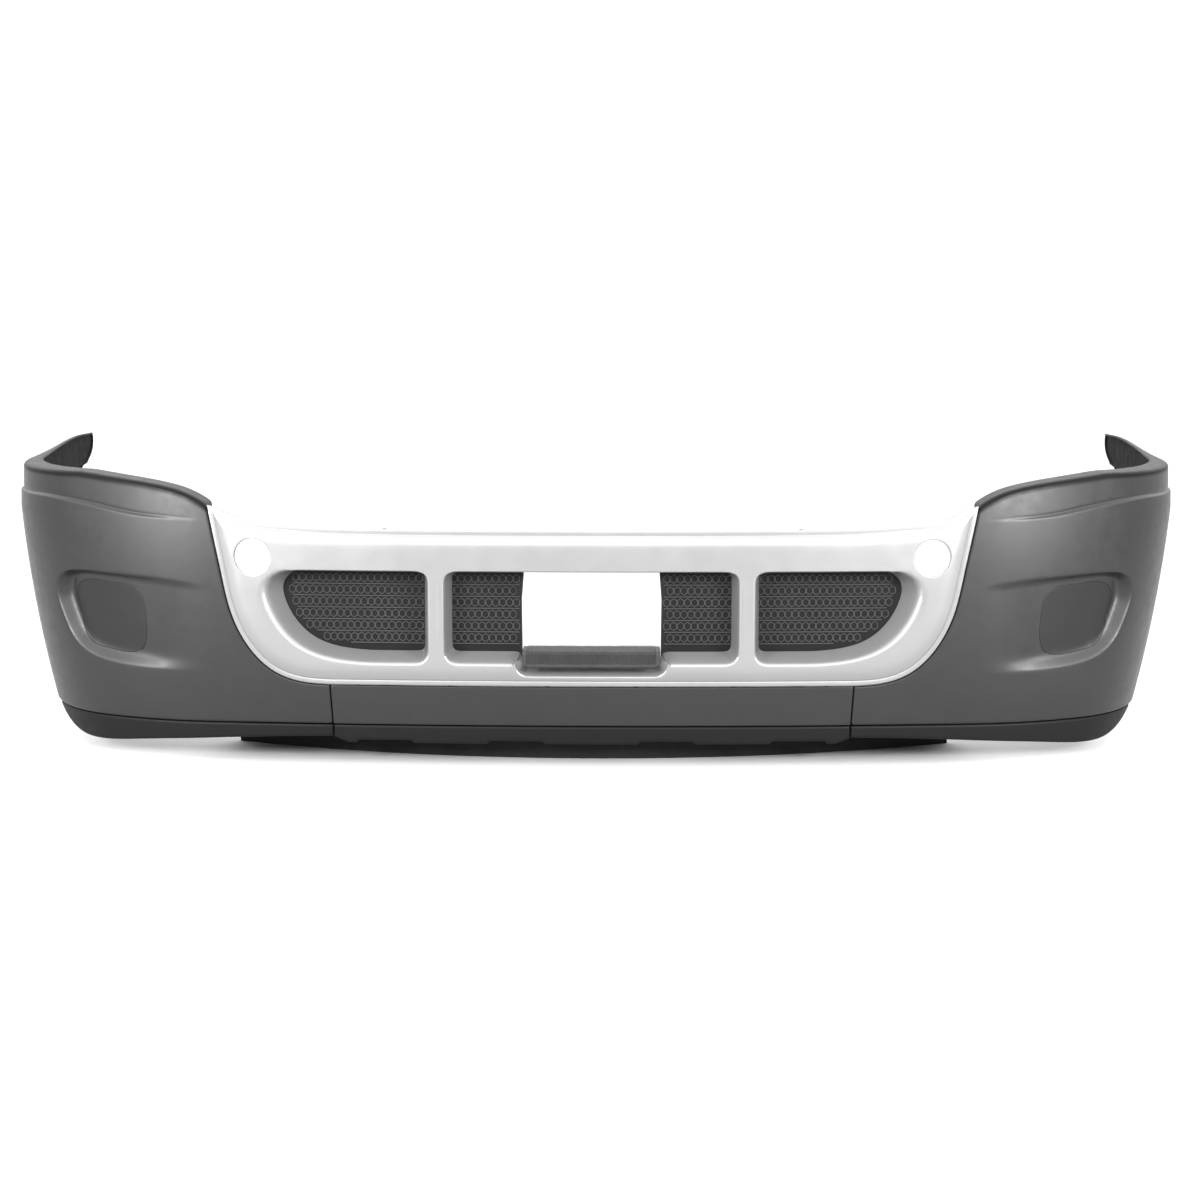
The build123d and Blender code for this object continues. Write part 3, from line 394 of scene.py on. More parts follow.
def skin(name, loops, distances, spacing, height, depths, guides=(), tone=None, thickness=0.003):
    """Moulded skin: faces drawn on the outer surface, with a flange behind each edge."""
    flat, faces, rims = triangles(loops, fill_points(loops, distances, spacing, guides))
    h = height(flat)
    verts = [place(flat, h)]
    dark = [np.zeros(len(flat)) if tone is None else tone(flat)]
    quads = []
    total = len(flat)
    for index, (rim, depth) in enumerate(zip(rims, depths)):
        edge = flat[rim]
        depth = depth(edge) if callable(depth) else np.full(len(rim), depth)
        previous = rim
        for share in (0.12, 0.5, 1.0):
            verts.append(place(edge, h[rim] - depth * share))
            dark.append(dark[0][rim])
            row = list(range(total, total + len(rim)))
            total += len(rim)
            for i in range(len(rim)):
                j = (i + 1) % len(rim)
                quad = (previous[i], row[i], row[j], previous[j])
                quads.append(quad if index == 0 else quad[::-1])
            previous = row
    mesh = bpy.data.meshes.new(name)
    mesh.from_pydata(np.concatenate(verts).tolist(), [], faces.tolist() + quads)
    attribute = mesh.attributes.new("tone", "FLOAT", "POINT")
    attribute.data.foreach_set("value", np.concatenate(dark).astype(np.float32))
    return finished(mesh, name, thickness)


def finished(mesh, name, thickness=0.0, sharp=40):
    """Object of the mesh, smooth but for its sharp edges, with a wall thickness."""
    mesh.validate()
    mesh.shade_smooth()
    mesh.set_sharp_from_angle(angle=math.radians(sharp))
    piece = bpy.data.objects.new(name, mesh)
    bpy.context.scene.collection.objects.link(piece)
    drop_loose(mesh)
    if thickness:
        wall = piece.modifiers.new("wall", "SOLIDIFY")
        wall.thickness = thickness
        wall.offset = -1
    return piece


def drop_loose(mesh):
    """Remove vertices that no face uses."""
    work = bmesh.new()
    work.from_mesh(mesh)
    bmesh.ops.delete(work, geom=[v for v in work.verts if not v.link_faces], context="VERTS")
    work.to_mesh(mesh)
    work.free()


def mirror_image(piece, name):
    """Mirror image of a piece across the centre plane."""
    mesh = piece.data.copy()
    mesh.name = name
    co = np.empty(len(mesh.vertices) * 3, np.float32)
    mesh.vertices.foreach_get("co", co)
    co[0::3] *= -1
    mesh.vertices.foreach_set("co", co)
    mesh.flip_normals()
    mesh.update()
    other = bpy.data.objects.new(name, mesh)
    bpy.context.scene.collection.objects.link(other)
    for old in piece.modifiers:
        new = other.modifiers.new(old.name, old.type)
        new.thickness = old.thickness
        new.offset = old.offset
        new.material_offset = old.material_offset
    return other


def settle(piece, node, material, body="bumper"):
    """Give a piece its material and its body, and hide the CAD node that it stands for."""
    piece.data.materials.clear()
    piece.data.materials.append(material)
    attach(piece, body)
    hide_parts(node)
    return piece


# ============================================================
# Materials
# ============================================================
def new_material(name, colour, roughness, metallic=0.0, coat=0.0, specular=0.5):
    """A material with its plain values set, and its nodes to build on."""
    material = bpy.data.materials.new(name)
    material.use_nodes = True
    tree = material.node_tree
    shader = tree.nodes["Principled BSDF"]
    shader.inputs["Base Color"].default_value = (*colour, 1)
    shader.inputs["Roughness"].default_value = roughness
    shader.inputs["Metallic"].default_value = metallic
    shader.inputs["Coat Weight"].default_value = coat
    shader.inputs["Specular IOR Level"].default_value = specular
    return material, tree, shader


def noise(tree, scale, detail):
    """Noise over the object's own coordinates."""
    place_node = tree.nodes.new("ShaderNodeTexCoord")
    texture = tree.nodes.new("ShaderNodeTexNoise")
    texture.inputs["Scale"].default_value = scale
    texture.inputs["Detail"].default_value = detail
    tree.links.new(place_node.outputs["Object"], texture.inputs["Vector"])
    return texture.outputs["Fac"]


NOISE_RANGE = (0.3, 0.7)       # most of what a noise texture gives lies in this range


def ramp(tree, source, low, high, span=NOISE_RANGE):
    """Colour that runs from low to high over that span of the source."""
    node = tree.nodes.new("ShaderNodeValToRGB")
    for element, position, colour in zip(node.color_ramp.elements, span, (low, high)):
        element.position = position
        element.color = (*colour, 1)
    tree.links.new(source, node.inputs["Fac"])
    return node.outputs["Color"]


def vary_roughness(tree, shader, source, low, high):
    """Roughness that follows the source."""
    node = tree.nodes.new("ShaderNodeMapRange")
    node.inputs["From Min"].default_value, node.inputs["From Max"].default_value = NOISE_RANGE
    node.inputs["To Min"].default_value = low
    node.inputs["To Max"].default_value = high
    tree.links.new(source, node.inputs["Value"])
    tree.links.new(node.outputs["Result"], shader.inputs["Roughness"])


def add_bump(tree, shader, source, strength, distance):
    """Fine relief from the source."""
    bump = tree.nodes.new("ShaderNodeBump")
    bump.inputs["Strength"].default_value = strength
    bump.inputs["Distance"].default_value = distance
    tree.links.new(source, bump.inputs["Height"])
    tree.links.new(bump.outputs["Normal"], shader.inputs["Normal"])


TONE_SHADE = (0.20, 0.20, 0.20)   # colour that a full tone attribute multiplies by; painted shade where it darkens the end covers' top edge and the grille plate
TONE_SPECULAR = 0.12              # gloss left at full tone, which also dims reflections in the painted shade
GRAIN_STRENGTH = 0.35


def moulded(name, dark, light, low, high, grain=900.0, relief=0.00012, cloud=5.0, **plain):
    """Grained finish: soft clouds of colour, uneven roughness from low to high, a fine grain."""
    material, tree, shader = new_material(name, light, high, **plain)
    clouds = ramp(tree, noise(tree, cloud, 3.0), dark, light)
    # The tone attribute darkens the colour and lowers the gloss. It is painted shade along the end covers'
    # rolled top edge and over the grille plate between its ridges. On the fog blank it is the blank's own
    # slightly darker colour.
    tone = tree.nodes.new("ShaderNodeAttribute")
    tone.attribute_name = "tone"
    shaded = tree.nodes.new("ShaderNodeMix")
    shaded.data_type = "RGBA"
    shaded.blend_type = "MULTIPLY"
    shaded.inputs["B"].default_value = (*TONE_SHADE, 1)
    tree.links.new(tone.outputs["Fac"], shaded.inputs["Factor"])
    tree.links.new(clouds, shaded.inputs["A"])
    tree.links.new(shaded.outputs["Result"], shader.inputs["Base Color"])
    gloss = tree.nodes.new("ShaderNodeMapRange")
    gloss.inputs["To Min"].default_value = plain.get("specular", 0.5)
    gloss.inputs["To Max"].default_value = TONE_SPECULAR
    tree.links.new(tone.outputs["Fac"], gloss.inputs["Value"])
    tree.links.new(gloss.outputs["Result"], shader.inputs["Specular IOR Level"])
    vary_roughness(tree, shader, noise(tree, cloud * 9, 5.0), low, high)
    add_bump(tree, shader, noise(tree, grain, 2.0), GRAIN_STRENGTH, relief)
    return material


def grey(value):
    """A neutral colour, given as the lightness on screen from 0 to 255."""
    share = value / 255.0
    linear = share / 12.92 if share <= 0.04045 else ((share + 0.055) / 1.055) ** 2.4
    return (linear, linear, linear)


silver = moulded("silver_paint", grey(135), grey(140), 0.30, 0.36, grain=2600, relief=0.00003, cloud=3.0,
                 metallic=0.55, coat=0.10)
plastic = moulded("dark_grey_plastic", grey(22), grey(26), 0.36, 0.44, grain=1500, relief=0.00006,
                  specular=0.45)
# Near-black material for the end covers' inner faces: painted shade, the same grey plastic darkened where
# the inside lies in shadow; its higher roughness is the plastic's own.
inner_shade_plastic = moulded("inner_face_painted_shade", grey(4), grey(7), 0.60, 0.75, grain=900, relief=0.0001,
                      specular=0.10)
black = moulded("black_plastic", grey(6), grey(8), 0.50, 0.62, grain=1200, relief=0.00008, specular=0.22)
mesh_black = moulded("grille_plastic", grey(51), grey(59), 0.36, 0.46, grain=1500, relief=0.00005,
                     specular=0.50)
rubber = moulded("black_rubber", grey(20), grey(26), 0.60, 0.75, specular=0.20)
tread = moulded("tread_rubber", grey(29), grey(38), 0.55, 0.70, grain=1000, relief=0.0001, cloud=30)
coated = moulded("coated_steel", grey(34), grey(42), 0.35, 0.50, grain=700, relief=0.00008, coat=0.2)
galvanised = moulded("galvanised_steel", grey(128), grey(168), 0.38, 0.55, cloud=45, metallic=0.85)
zinc = moulded("zinc_plate", grey(150), grey(182), 0.28, 0.42, cloud=60, metallic=0.9)
CAD_FINISHES = {
    "black_rubber": rubber,
    "coated_steel": coated,
    "galvanised_steel": galvanised,
    "zinc_plate": zinc,
    "black_plastic": black,
}


# ============================================================
# Silver trim
# ============================================================
WALL_TOP, WALL_FOOT, WALL_D_END, WALL_PILLAR = 0.006, 0.017, 0.030, 0.011   # widths of the sloped walls
WALL_BLEND = 0.016             # rounds the walls into the dome
EDGE_ROUND = 0.002
TOP_RISE, TOP_GROOVE = 0.026, 0.0004       # width from bead to dome, and depth of the groove between them
SEAM_RISE, SEAM_GROOVE = 0.036, 0.0018
GROOVE_HALF = 0.0013
PILLAR_RIDGE, PILLAR_RIDGE_HALF, PILLAR_RIDGE_SHIFT = 0.0010, 0.0022, 0.007
PILLAR_RIDGE_FOOT, PILLAR_RIDGE_HEAD, PILLAR_RIDGE_FADE = 0.250, 0.385, 0.02


def wall_width(away, side):
    """Width of an opening's sloped wall: steep under the rail, wide round the D end."""
    up, out = away[:, 1], away[:, 0] * side
    width = WALL_TOP * np.maximum(up, 0) ** 2 + WALL_FOOT * np.maximum(-up, 0) ** 2
    if side == 0:
        return width + WALL_PILLAR * away[:, 0] ** 2
    return width + WALL_D_END * np.maximum(out, 0) ** 2 + WALL_PILLAR * np.maximum(-out, 0) ** 2


def make_trim():
    """Silver surround: bead, dome, sloped opening walls, pillars, tow-eye holes."""
    edge = moved(trim_outline(), -GAP / 2)
    right = outer_opening()
    openings = [(right, 1), (anticlockwise(flipped(right)), -1), (centre_opening(), 0)]
    tows = [tow_hole(1), tow_hole(-1)]
    top = from_front(smooth(np.concatenate([TOP_CURVE, flipped(TOP_CURVE)[1:]])))
    seam = from_front(np.concatenate([flipped(smooth(SEAM_CURVE)), smooth(SEAM_CURVE)]))

    def height(points):
        below_top = nearest(points, top, closed=False)[0]
        from_seam = nearest(points, seam, closed=False)[0]
        rises = []
        for inward, width, groove in ((below_top, TOP_RISE, TOP_GROOVE),
                                      (from_seam, SEAM_RISE, SEAM_GROOVE)):
            rise = np.clip((inward - BEAD) / width, 0, 1)
            dip = groove / DOME * np.exp(-((inward - BEAD) / GROOVE_HALF) ** 2)
            rises.append(1 - (1 - rise) ** 2 - dip)
        dome = BEAD_HEIGHT + (DOME - BEAD_HEIGHT) * soft_min(rises[0], rises[1], 0.25)
        dome -= rounded_edge(nearest(points, edge)[0], EDGE_ROUND)
        for loop, side in openings:
            distance, away = nearest(points, loop)
            slope = (OPENING_DEPTH + DOME) / wall_width(away, side)
            dome = soft_min(dome, slope * distance - OPENING_DEPTH, WALL_BLEND)
        for loop in tows:
            dome -= rounded_edge(nearest(points, loop)[0], EDGE_ROUND)
        # faint ridge down each pillar
        from_ridge = np.abs(points[:, 0]) - PILLAR_X + PILLAR_RIDGE_SHIFT
        ridge = np.exp(-(from_ridge / PILLAR_RIDGE_HALF) ** 2)
        tall = eased((points[:, 1] - PILLAR_RIDGE_FOOT) / PILLAR_RIDGE_FADE)
        tall = tall * eased((PILLAR_RIDGE_HEAD - points[:, 1]) / PILLAR_RIDGE_FADE)
        return dome + PILLAR_RIDGE * ridge * tall

    distances = (0.0006, 0.0014, 0.0024, 0.004, 0.006, 0.0085, 0.0098, 0.0105, 0.0112, 0.0122, 0.014,
                 0.0165, 0.0195, 0.023, 0.027, 0.031)
    loops = [edge] + [loop for loop, side in openings] + tows
    flanges = [0.010] + [0.002] * len(openings) + [0.006] * len(tows)
    piece = skin("center_trim_shell", loops, distances, 0.008, height, flanges)
    return settle(piece, "center_trim", silver)


# ============================================================
# End covers and fog blanks
# ============================================================
CREASE = from_front(smooth(CREASE_CURVE, 0.01))
SCOOP = from_front(softened(join(smooth(SCOOP_CURVE)), 4))
BLANK = from_front(softened(join(smooth(np.concatenate([BLANK_CURVE, BLANK_CURVE[:1]]))), 5))


SCOOP_WALL, SCOOP_WALL_FOOT, SCOOP_WALL_OUT = 0.011, 0.014, 0.010   # wall width, and what is added there
SCOOP_RIM_ROUND = 0.02
SCOOP_FLOOR_BLEND = 0.4
CREASE_STEP = 0.0052           # how far the face above the crease is set back
CREASE_START, CREASE_FADE = 0.79, 0.30
CREASE_WIDTH = 0.007
CREASE_DIP, CREASE_DIP_MIDDLE, CREASE_DIP_HALF = 0.25, 0.006, 0.003
COVER_EDGE_ROUND = 0.0045
TOP_FLANGE, TOP_FLANGE_EXTRA, REAR_FLANGE = 0.012, 0.026, 0.002
TOP_FLANGE_START, TOP_FLANGE_FADE = 0.002, 0.02
APERTURE_FLANGE = 0.009
REAR_START, REAR_FADE = 1.20, 0.45
# where the painted shade along the rolled top edge starts, and how fast it fades
TOP_SHADE_START, TOP_SHADE_FADE = 0.008, 0.009
BLANK_PROUD = 0.0002            # the blank stands this far proud of the scoop's floor
BLANK_TONE = 0.30
LEG_BACK, LEG_LENGTH = 0.009, 0.020        # how far behind the face the snap legs start, and their length
LEGS = ((1.000, 0.356, 0.014, 0.003), (0.935, 0.290, 0.003, 0.014), (1.072, 0.290, 0.003, 0.014))


def scoop_depth(points):
    """Depth of the scoop: its floor is the outer face moved inboard, fading inboard."""
    fade = eased((points[:, 0] - SCOOP_START) / SCOOP_FADE)
    return SCOOP_SHIFT * np.sin(heading(points)) * fade


def scoop_height(points):
    """Height of the surface in and round the scoop: steep on top, sloped below and outboard."""
    distance, away = nearest(points, SCOOP)
    inward = np.where(contains(SCOOP, points), 1.0, -1.0)
    up, out = inward * away[:, 1], -inward * away[:, 0]
    width = SCOOP_WALL + SCOOP_WALL_FOOT * np.maximum(up, 0) ** 2 + SCOOP_WALL_OUT * np.maximum(out, 0) ** 2
    share = inward * distance / width
    begun = 0.5 * (share + np.sqrt(share**2 + SCOOP_RIM_ROUND))
    return -scoop_depth(points) * soft_min(begun, 1.0, SCOOP_FLOOR_BLEND)


def end_edges():
    """Top edge of the right end cover, and the rest of its outline."""
    top = np.concatenate([from_side(smooth(SIDE_TOP_CURVE)), from_front(smooth(END_TOP_CURVE))])
    seam = from_front(moved(smooth(SEAM_CURVE), GAP, closed=False)[:-1])[::-1]
    foot = from_front(np.array([(SEAM_TOP_X + GAP / 2, TRIM_BOTTOM - GAP),
                                (SEAM_BOTTOM_X + GAP / 2, PARTING_Z)]))
    rear = from_side(smooth(REAR_CURVE))
    return top, softened(join(top, seam, foot, rear), 3)


def make_end_cover():
    """Right end cover: crease, scoop with its aperture, rolled top edge, side wall."""
    top, edge = end_edges()

    def height(points):
        crease_z = np.interp(points[:, 0], CREASE[:, 0], CREASE[:, 1])
        step = CREASE_STEP * eased((points[:, 0] - CREASE_START) / CREASE_FADE)
        above = points[:, 1] - crease_z
        h = -step * eased(above / CREASE_WIDTH)
        h -= CREASE_DIP * step * np.exp(-((above - CREASE_DIP_MIDDLE) / CREASE_DIP_HALF) ** 2)
        h += scoop_height(points)
        h -= rounded_edge(nearest(points, top, closed=False)[0], TOP_ROLL)
        return h - rounded_edge(nearest(points, edge)[0], COVER_EDGE_ROUND)

    def depth(points):
        to_top = nearest(points, top, closed=False)[0]
        to_rear = eased((points[:, 0] - REAR_START) / REAR_FADE)
        front = TOP_FLANGE + TOP_FLANGE_EXTRA * eased(1 - (to_top - TOP_FLANGE_START) / TOP_FLANGE_FADE)
        return front * (1 - to_rear) + REAR_FLANGE * to_rear

    def tone(points):
        # painted shade: darker and less glossy along the rolled top edge
        return eased(1 - (nearest(points, top, closed=False)[0] - TOP_SHADE_START) / TOP_SHADE_FADE)

    distances = (0.0006, 0.0014, 0.0024, 0.0038, 0.0055, 0.0075, 0.010, 0.013, 0.016, 0.020, 0.025)
    along = np.arange(0.80, 1.95, 0.0035)
    crease = np.stack([along, np.interp(along, CREASE[:, 0], CREASE[:, 1])], axis=1)
    crease_rows = [-0.0150, -0.0120, -0.0100, -0.0085, -0.0070, -0.0055, -0.0040, -0.0025, -0.0010,
                   0.0010, 0.0035]
    scoop_rows = [-0.026, -0.022, -0.018, -0.0145, -0.011, -0.008, -0.0055, -0.0035, -0.0018,
                  0.0, 0.0015, 0.0035, 0.006]
    guides = [(crease, crease_rows), (SCOOP[SCOOP[:, 0] > 0.80], scoop_rows)]
    piece = skin("right_end_cover_shell", [edge, BLANK], distances, 0.0075, height, [depth, APERTURE_FLANGE],
                 guides, tone)
    # Inner faces take the second, near-black material: painted shade.
    piece.modifiers["wall"].material_offset = 1
    other = mirror_image(piece, "left_end_cover_shell")
    for shell, node in ((piece, "right_end_cover"), (other, "left_end_cover")):
        settle(shell, node, plastic)
        shell.data.materials.append(inner_shade_plastic)


def box_faces(low, high):
    """Corners and faces of a block from its lowest to its highest corner."""
    xs, ys, zs = zip(low, high)
    corners = [(x, y, z) for x in xs for y in ys for z in zs]
    faces = [(0, 1, 3, 2), (4, 6, 7, 5), (0, 4, 5, 1), (2, 3, 7, 6), (0, 2, 6, 4), (1, 5, 7, 3)]
    return corners, faces


def make_fog_blank():
    """Right fog-lamp blank: flush plate with three snap legs behind it."""
    edge = moved(BLANK, -0.2 * GAP)

    def height(points):
        return scoop_height(points) + BLANK_PROUD - rounded_edge(nearest(points, edge)[0], 0.0010)

    def tone(points):
        return np.full(len(points), BLANK_TONE)

    distances = (0.0005, 0.001, 0.002, 0.004)
    piece = skin("right_fog_blank_plate", [edge], distances, 0.008, height, [0.006], tone=tone)
    bpy.context.view_layer.update()
    work = bmesh.new()
    work.from_mesh(piece.data)
    for x, z, wide, tall in LEGS:
        spot = from_front(np.array([(x, z)]))
        y = place(spot, scoop_height(spot) - LEG_BACK)[0][1]
        corners, faces = box_faces((x - wide / 2, y, z - tall / 2),
                                   (x + wide / 2, y + LEG_LENGTH, z + tall / 2))
        verts = [work.verts.new(c) for c in corners]
        for face in faces:
            work.faces.new([verts[i] for i in face])
    sides = [face for face in work.faces if len(face.verts) == 4 and face.calc_area() > 1e-6]
    bmesh.ops.recalc_face_normals(work, faces=sides)
    work.to_mesh(piece.data)
    work.free()
    settle(piece, "right_fog_blank", plastic, "right_blank")
    other = mirror_image(piece, "left_fog_blank_plate")
    return settle(other, "left_fog_blank", plastic, "left_blank")


# ============================================================
# Lower centre panel and lips
# ============================================================
SINK_X = (0.079, 0.104, 0.262, 0.286, 0.464)
SINK_Z = 0.150
SINK_DEPTH, SINK_RADIUS = 0.0006, 0.004
LIP_BACK = 0.0015              # the lips sit this far behind the panels
LIP_ROUND = 0.005
LIP_FLANGE = 0.018
NOTCH_MIDDLES = (0.425, 0.155, -0.155, -0.425)
NOTCH_FOOT_HALF, NOTCH_HEAD_HALF = 0.060, 0.054
CENTER_LIP_FOOT, NOTCH_HEAD, CENTER_LIP_END = 0.044, 0.050, 0.056       # heights
CENTER_LIP_TAPER = 0.030


def make_lower_panel():
    """Lower centre panel, with faint sink marks over its hidden screw posts."""
    top = TRIM_BOTTOM - GAP
    foot_x, head_x = SEAM_BOTTOM_X - GAP / 2, SEAM_TOP_X - GAP / 2
    corners = np.array([(-foot_x, PARTING_Z), (foot_x, PARTING_Z), (head_x, top), (-head_x, top)])
    edge = join(from_front(corners))
    marks = [(side * x, SINK_Z) for side in (-1, 1) for x in SINK_X]

    def height(points):
        h = -rounded_edge(nearest(points, edge)[0], 0.003)
        for s, z in marks:
            square = (points[:, 0] - s) ** 2 + (points[:, 1] - z) ** 2
            h = h - SINK_DEPTH * np.exp(-square / SINK_RADIUS**2)
        return h

    distances = (0.0006, 0.0014, 0.0024, 0.004, 0.007, 0.010)
    piece = skin("lower_center_panel_shell", [edge], distances, 0.006, height, [0.020])
    return settle(piece, "lower_center_panel", plastic)


def lip_height(edge):
    """Height of a lip: a little behind the panels, with a softly rolled edge."""
    def height(points):
        return -LIP_BACK - rounded_edge(nearest(points, edge)[0], LIP_ROUND)
    return height


def make_lips():
    """Black lips under the panels; the centre one is notched."""
    top = PARTING_Z - GAP
    notches = []
    for middle in NOTCH_MIDDLES:
        notches += [(middle + NOTCH_FOOT_HALF, CENTER_LIP_FOOT), (middle + NOTCH_HEAD_HALF, NOTCH_HEAD),
                    (middle - NOTCH_HEAD_HALF, NOTCH_HEAD), (middle - NOTCH_FOOT_HALF, CENTER_LIP_FOOT)]
    low_x, high_x = SEAM_BOTTOM_X - CENTER_LIP_TAPER, SEAM_BOTTOM_X - GAP / 2
    outline = [(high_x, top), (high_x, CENTER_LIP_END), (low_x, CENTER_LIP_FOOT)] + notches
    outline += [(-low_x, CENTER_LIP_FOOT), (-high_x, CENTER_LIP_END), (-high_x, top)]
    edge = from_front(join(np.array(outline)))
    distances = (0.001, 0.002, 0.0035, 0.005, 0.008)
    piece = skin("center_lip_shell", [edge], distances, 0.007, lip_height(edge), [LIP_FLANGE])
    settle(piece, "center_lip", black)
    low = smooth(LIP_CURVE)
    edge = from_front(join(low, np.array([(LIP_END_X, top), (SEAM_BOTTOM_X + GAP / 2, top)])))
    piece = skin("right_lip_shell", [edge], distances, 0.007, lip_height(edge), [LIP_FLANGE])
    settle(piece, "right_lip", black)
    settle(mirror_image(piece, "left_lip_shell"), "left_lip", black)


# ============================================================
# Grille inserts
# ============================================================
HEX_PITCH = 0.0143
HEX_ROW_PITCH = 0.0243
HEX_TOP_ROW = 0.3828
HEX_SIZE = (0.0062, 0.0086)     # half width, half height
HEX_ROWS = 7
RIDGE = 0.0019                  # height of the hexagons' ridges above the plate
RIDGE_SUNK = 0.0004             # how far their feet go into it
HEX_RIDGE_HALF, RIB_HALF = 0.0012, 0.0014
RIB_EXTRA = 0.0006              # the ribs stand this much higher
RIDGE_TOP_SHARE = 0.35          # width of a ridge's top as a share of its foot
RIB_SPACING = 0.010
FIELD_MARGIN = 0.011            # plain border of the D end
FIELD_LOW = OPENING_BOTTOM + 0.006
FIELD_HIGH = OPENING_TOP + 0.004
WINDOW_ROLL, WINDOW_ROLL_RISE = 0.012, 0.004
WINDOW_SAG = 0.003
INSERT_EDGE = 0.002


def ridge_strip(path, half, base, top, closed):
    """A low ridge with sloped sides along a path of (s, z) points."""
    loop = np.asarray(path, float)
    offsets = (half, half * RIDGE_TOP_SHARE, -half * RIDGE_TOP_SHARE, -half)
    if closed:
        rows = [moved(loop, offset) for offset in offsets]
    else:
        rows = [loop - np.array([0.0, 1.0]) * offset for offset in offsets]
    heights = (base, top, top, base)
    verts = np.concatenate([place(row, np.full(len(row), h)) for row, h in zip(rows, heights)])
    count = len(loop)
    faces = []
    for k in range(3):
        for i in range(count if closed else count - 1):
            j = (i + 1) % count
            faces.append((k * count + i, k * count + j, (k + 1) * count + j, (k + 1) * count + i))
    return verts, faces


def hexagon(s, z):
    """Upright hexagon round (s, z), with three points along each side."""
    half_wide, half_tall = HEX_SIZE
    corners = [(0, -half_tall), (half_wide, -half_tall * 0.5), (half_wide, half_tall * 0.5), (0, half_tall),
               (-half_wide, half_tall * 0.5), (-half_wide, -half_tall * 0.5)]
    return join(np.array(corners) + (s, z), spacing=0.0045)


def make_grille_insert():
    """Right grille insert: closed plate embossed with rows of hexagons and ribs."""
    top, bottom = OPENING_TOP + 0.018, OPENING_BOTTOM - 0.016
    end = smooth(mm((612, 415), (648, 375), (642, 325), (622, 284), (582, 248), (524, 224), (454, 217)))
    window = [(WINDOW_HALF, bottom), (WINDOW_HALF, 0.257), (WINDOW_HALF + WINDOW_SAG / 3, 0.340),
              (WINDOW_HALF - WINDOW_SAG, 0.392), (WINDOW_HALF - WINDOW_SAG, top)]
    edge = from_front(join(end, np.array(window)))

    def height(points):
        to_window = np.clip((WINDOW_ROLL - (points[:, 0] - WINDOW_HALF)) / WINDOW_ROLL, 0, 1)
        rolled = -INSERT_DEPTH + WINDOW_ROLL_RISE * to_window**2
        return rolled - rounded_edge(nearest(points, edge)[0], INSERT_EDGE)

    # Painted shade: the plate between the embossed ridges is darkened, all but its 2 mm rolled edge; the
    # ridges carry no tone attribute and stay light.
    def tone(points):
        return eased(nearest(points, edge)[0] / INSERT_EDGE)

    distances = (0.001, 0.002, 0.004, 0.008)
    piece = skin("right_grille_insert_mesh", [edge], distances, 0.009, height, [0.003], tone=tone)
    field = moved(outer_opening(), -FIELD_MARGIN)
    verts, faces, total = [], [], 0

    def emboss(made):
        nonlocal total
        verts.append(made[0])
        faces.extend([tuple(i + total for i in face) for face in made[1]])
        total += len(made[0])

    base, crest = -INSERT_DEPTH - RIDGE_SUNK, -INSERT_DEPTH + RIDGE
    for row in range(HEX_ROWS):
        z = HEX_TOP_ROW - row * HEX_ROW_PITCH
        shift = HEX_PITCH / 2 * (row % 2)
        for s in np.arange(WINDOW_HALF + 0.012 + shift, 0.64, HEX_PITCH):
            in_straight_part = s < OPENING_FLAT_X and FIELD_LOW < z < FIELD_HIGH
            if in_straight_part or contains(field, np.array([(s, z)]))[0]:
                emboss(ridge_strip(hexagon(s, z), HEX_RIDGE_HALF, base, crest, True))
        rib_z = z - HEX_ROW_PITCH / 2
        across = np.arange(WINDOW_HALF + 0.006, 0.63, RIB_SPACING)
        line = np.stack([across, np.full(len(across), rib_z)], axis=1)
        line = line[contains(field, line) | ((across < OPENING_FLAT_X) & (rib_z > FIELD_LOW))]
        if len(line) > 2:
            emboss(ridge_strip(line, RIB_HALF, base, crest + RIB_EXTRA, False))
    mesh = bpy.data.meshes.new("right_grille_insert_relief")
    mesh.from_pydata(np.concatenate(verts).tolist(), [], faces)
    relief = finished(mesh, "right_grille_insert_relief", sharp=60)
    for shown, name in ((piece, "right_grille_insert"), (relief, "right_grille_insert")):
        settle(shown, name, mesh_black)
        other = mirror_image(shown, shown.name.replace("right", "left"))
        settle(other, name.replace("right", "left"), mesh_black)


# ============================================================
# Step pad
# ============================================================
PAD_RADIUS = 0.006
PAD_THICKNESS = 0.007
PAD_BEND_STEPS = 9
PAD_CORNER = 0.014             # radius of the lower corners
PAD_LIFT_HEIGHT = 0.016        # height over which the corners' lift fades out
PAD_BORDER = 0.0085
RIB_PITCH = 0.0038
RIB_SHARES = (0.12, 0.28, 0.62, 0.78)      # where a rib's foot and top start and end in its pitch
GROOVE_DEPTH = 0.0014
PAD_END_DROP = 0.0015


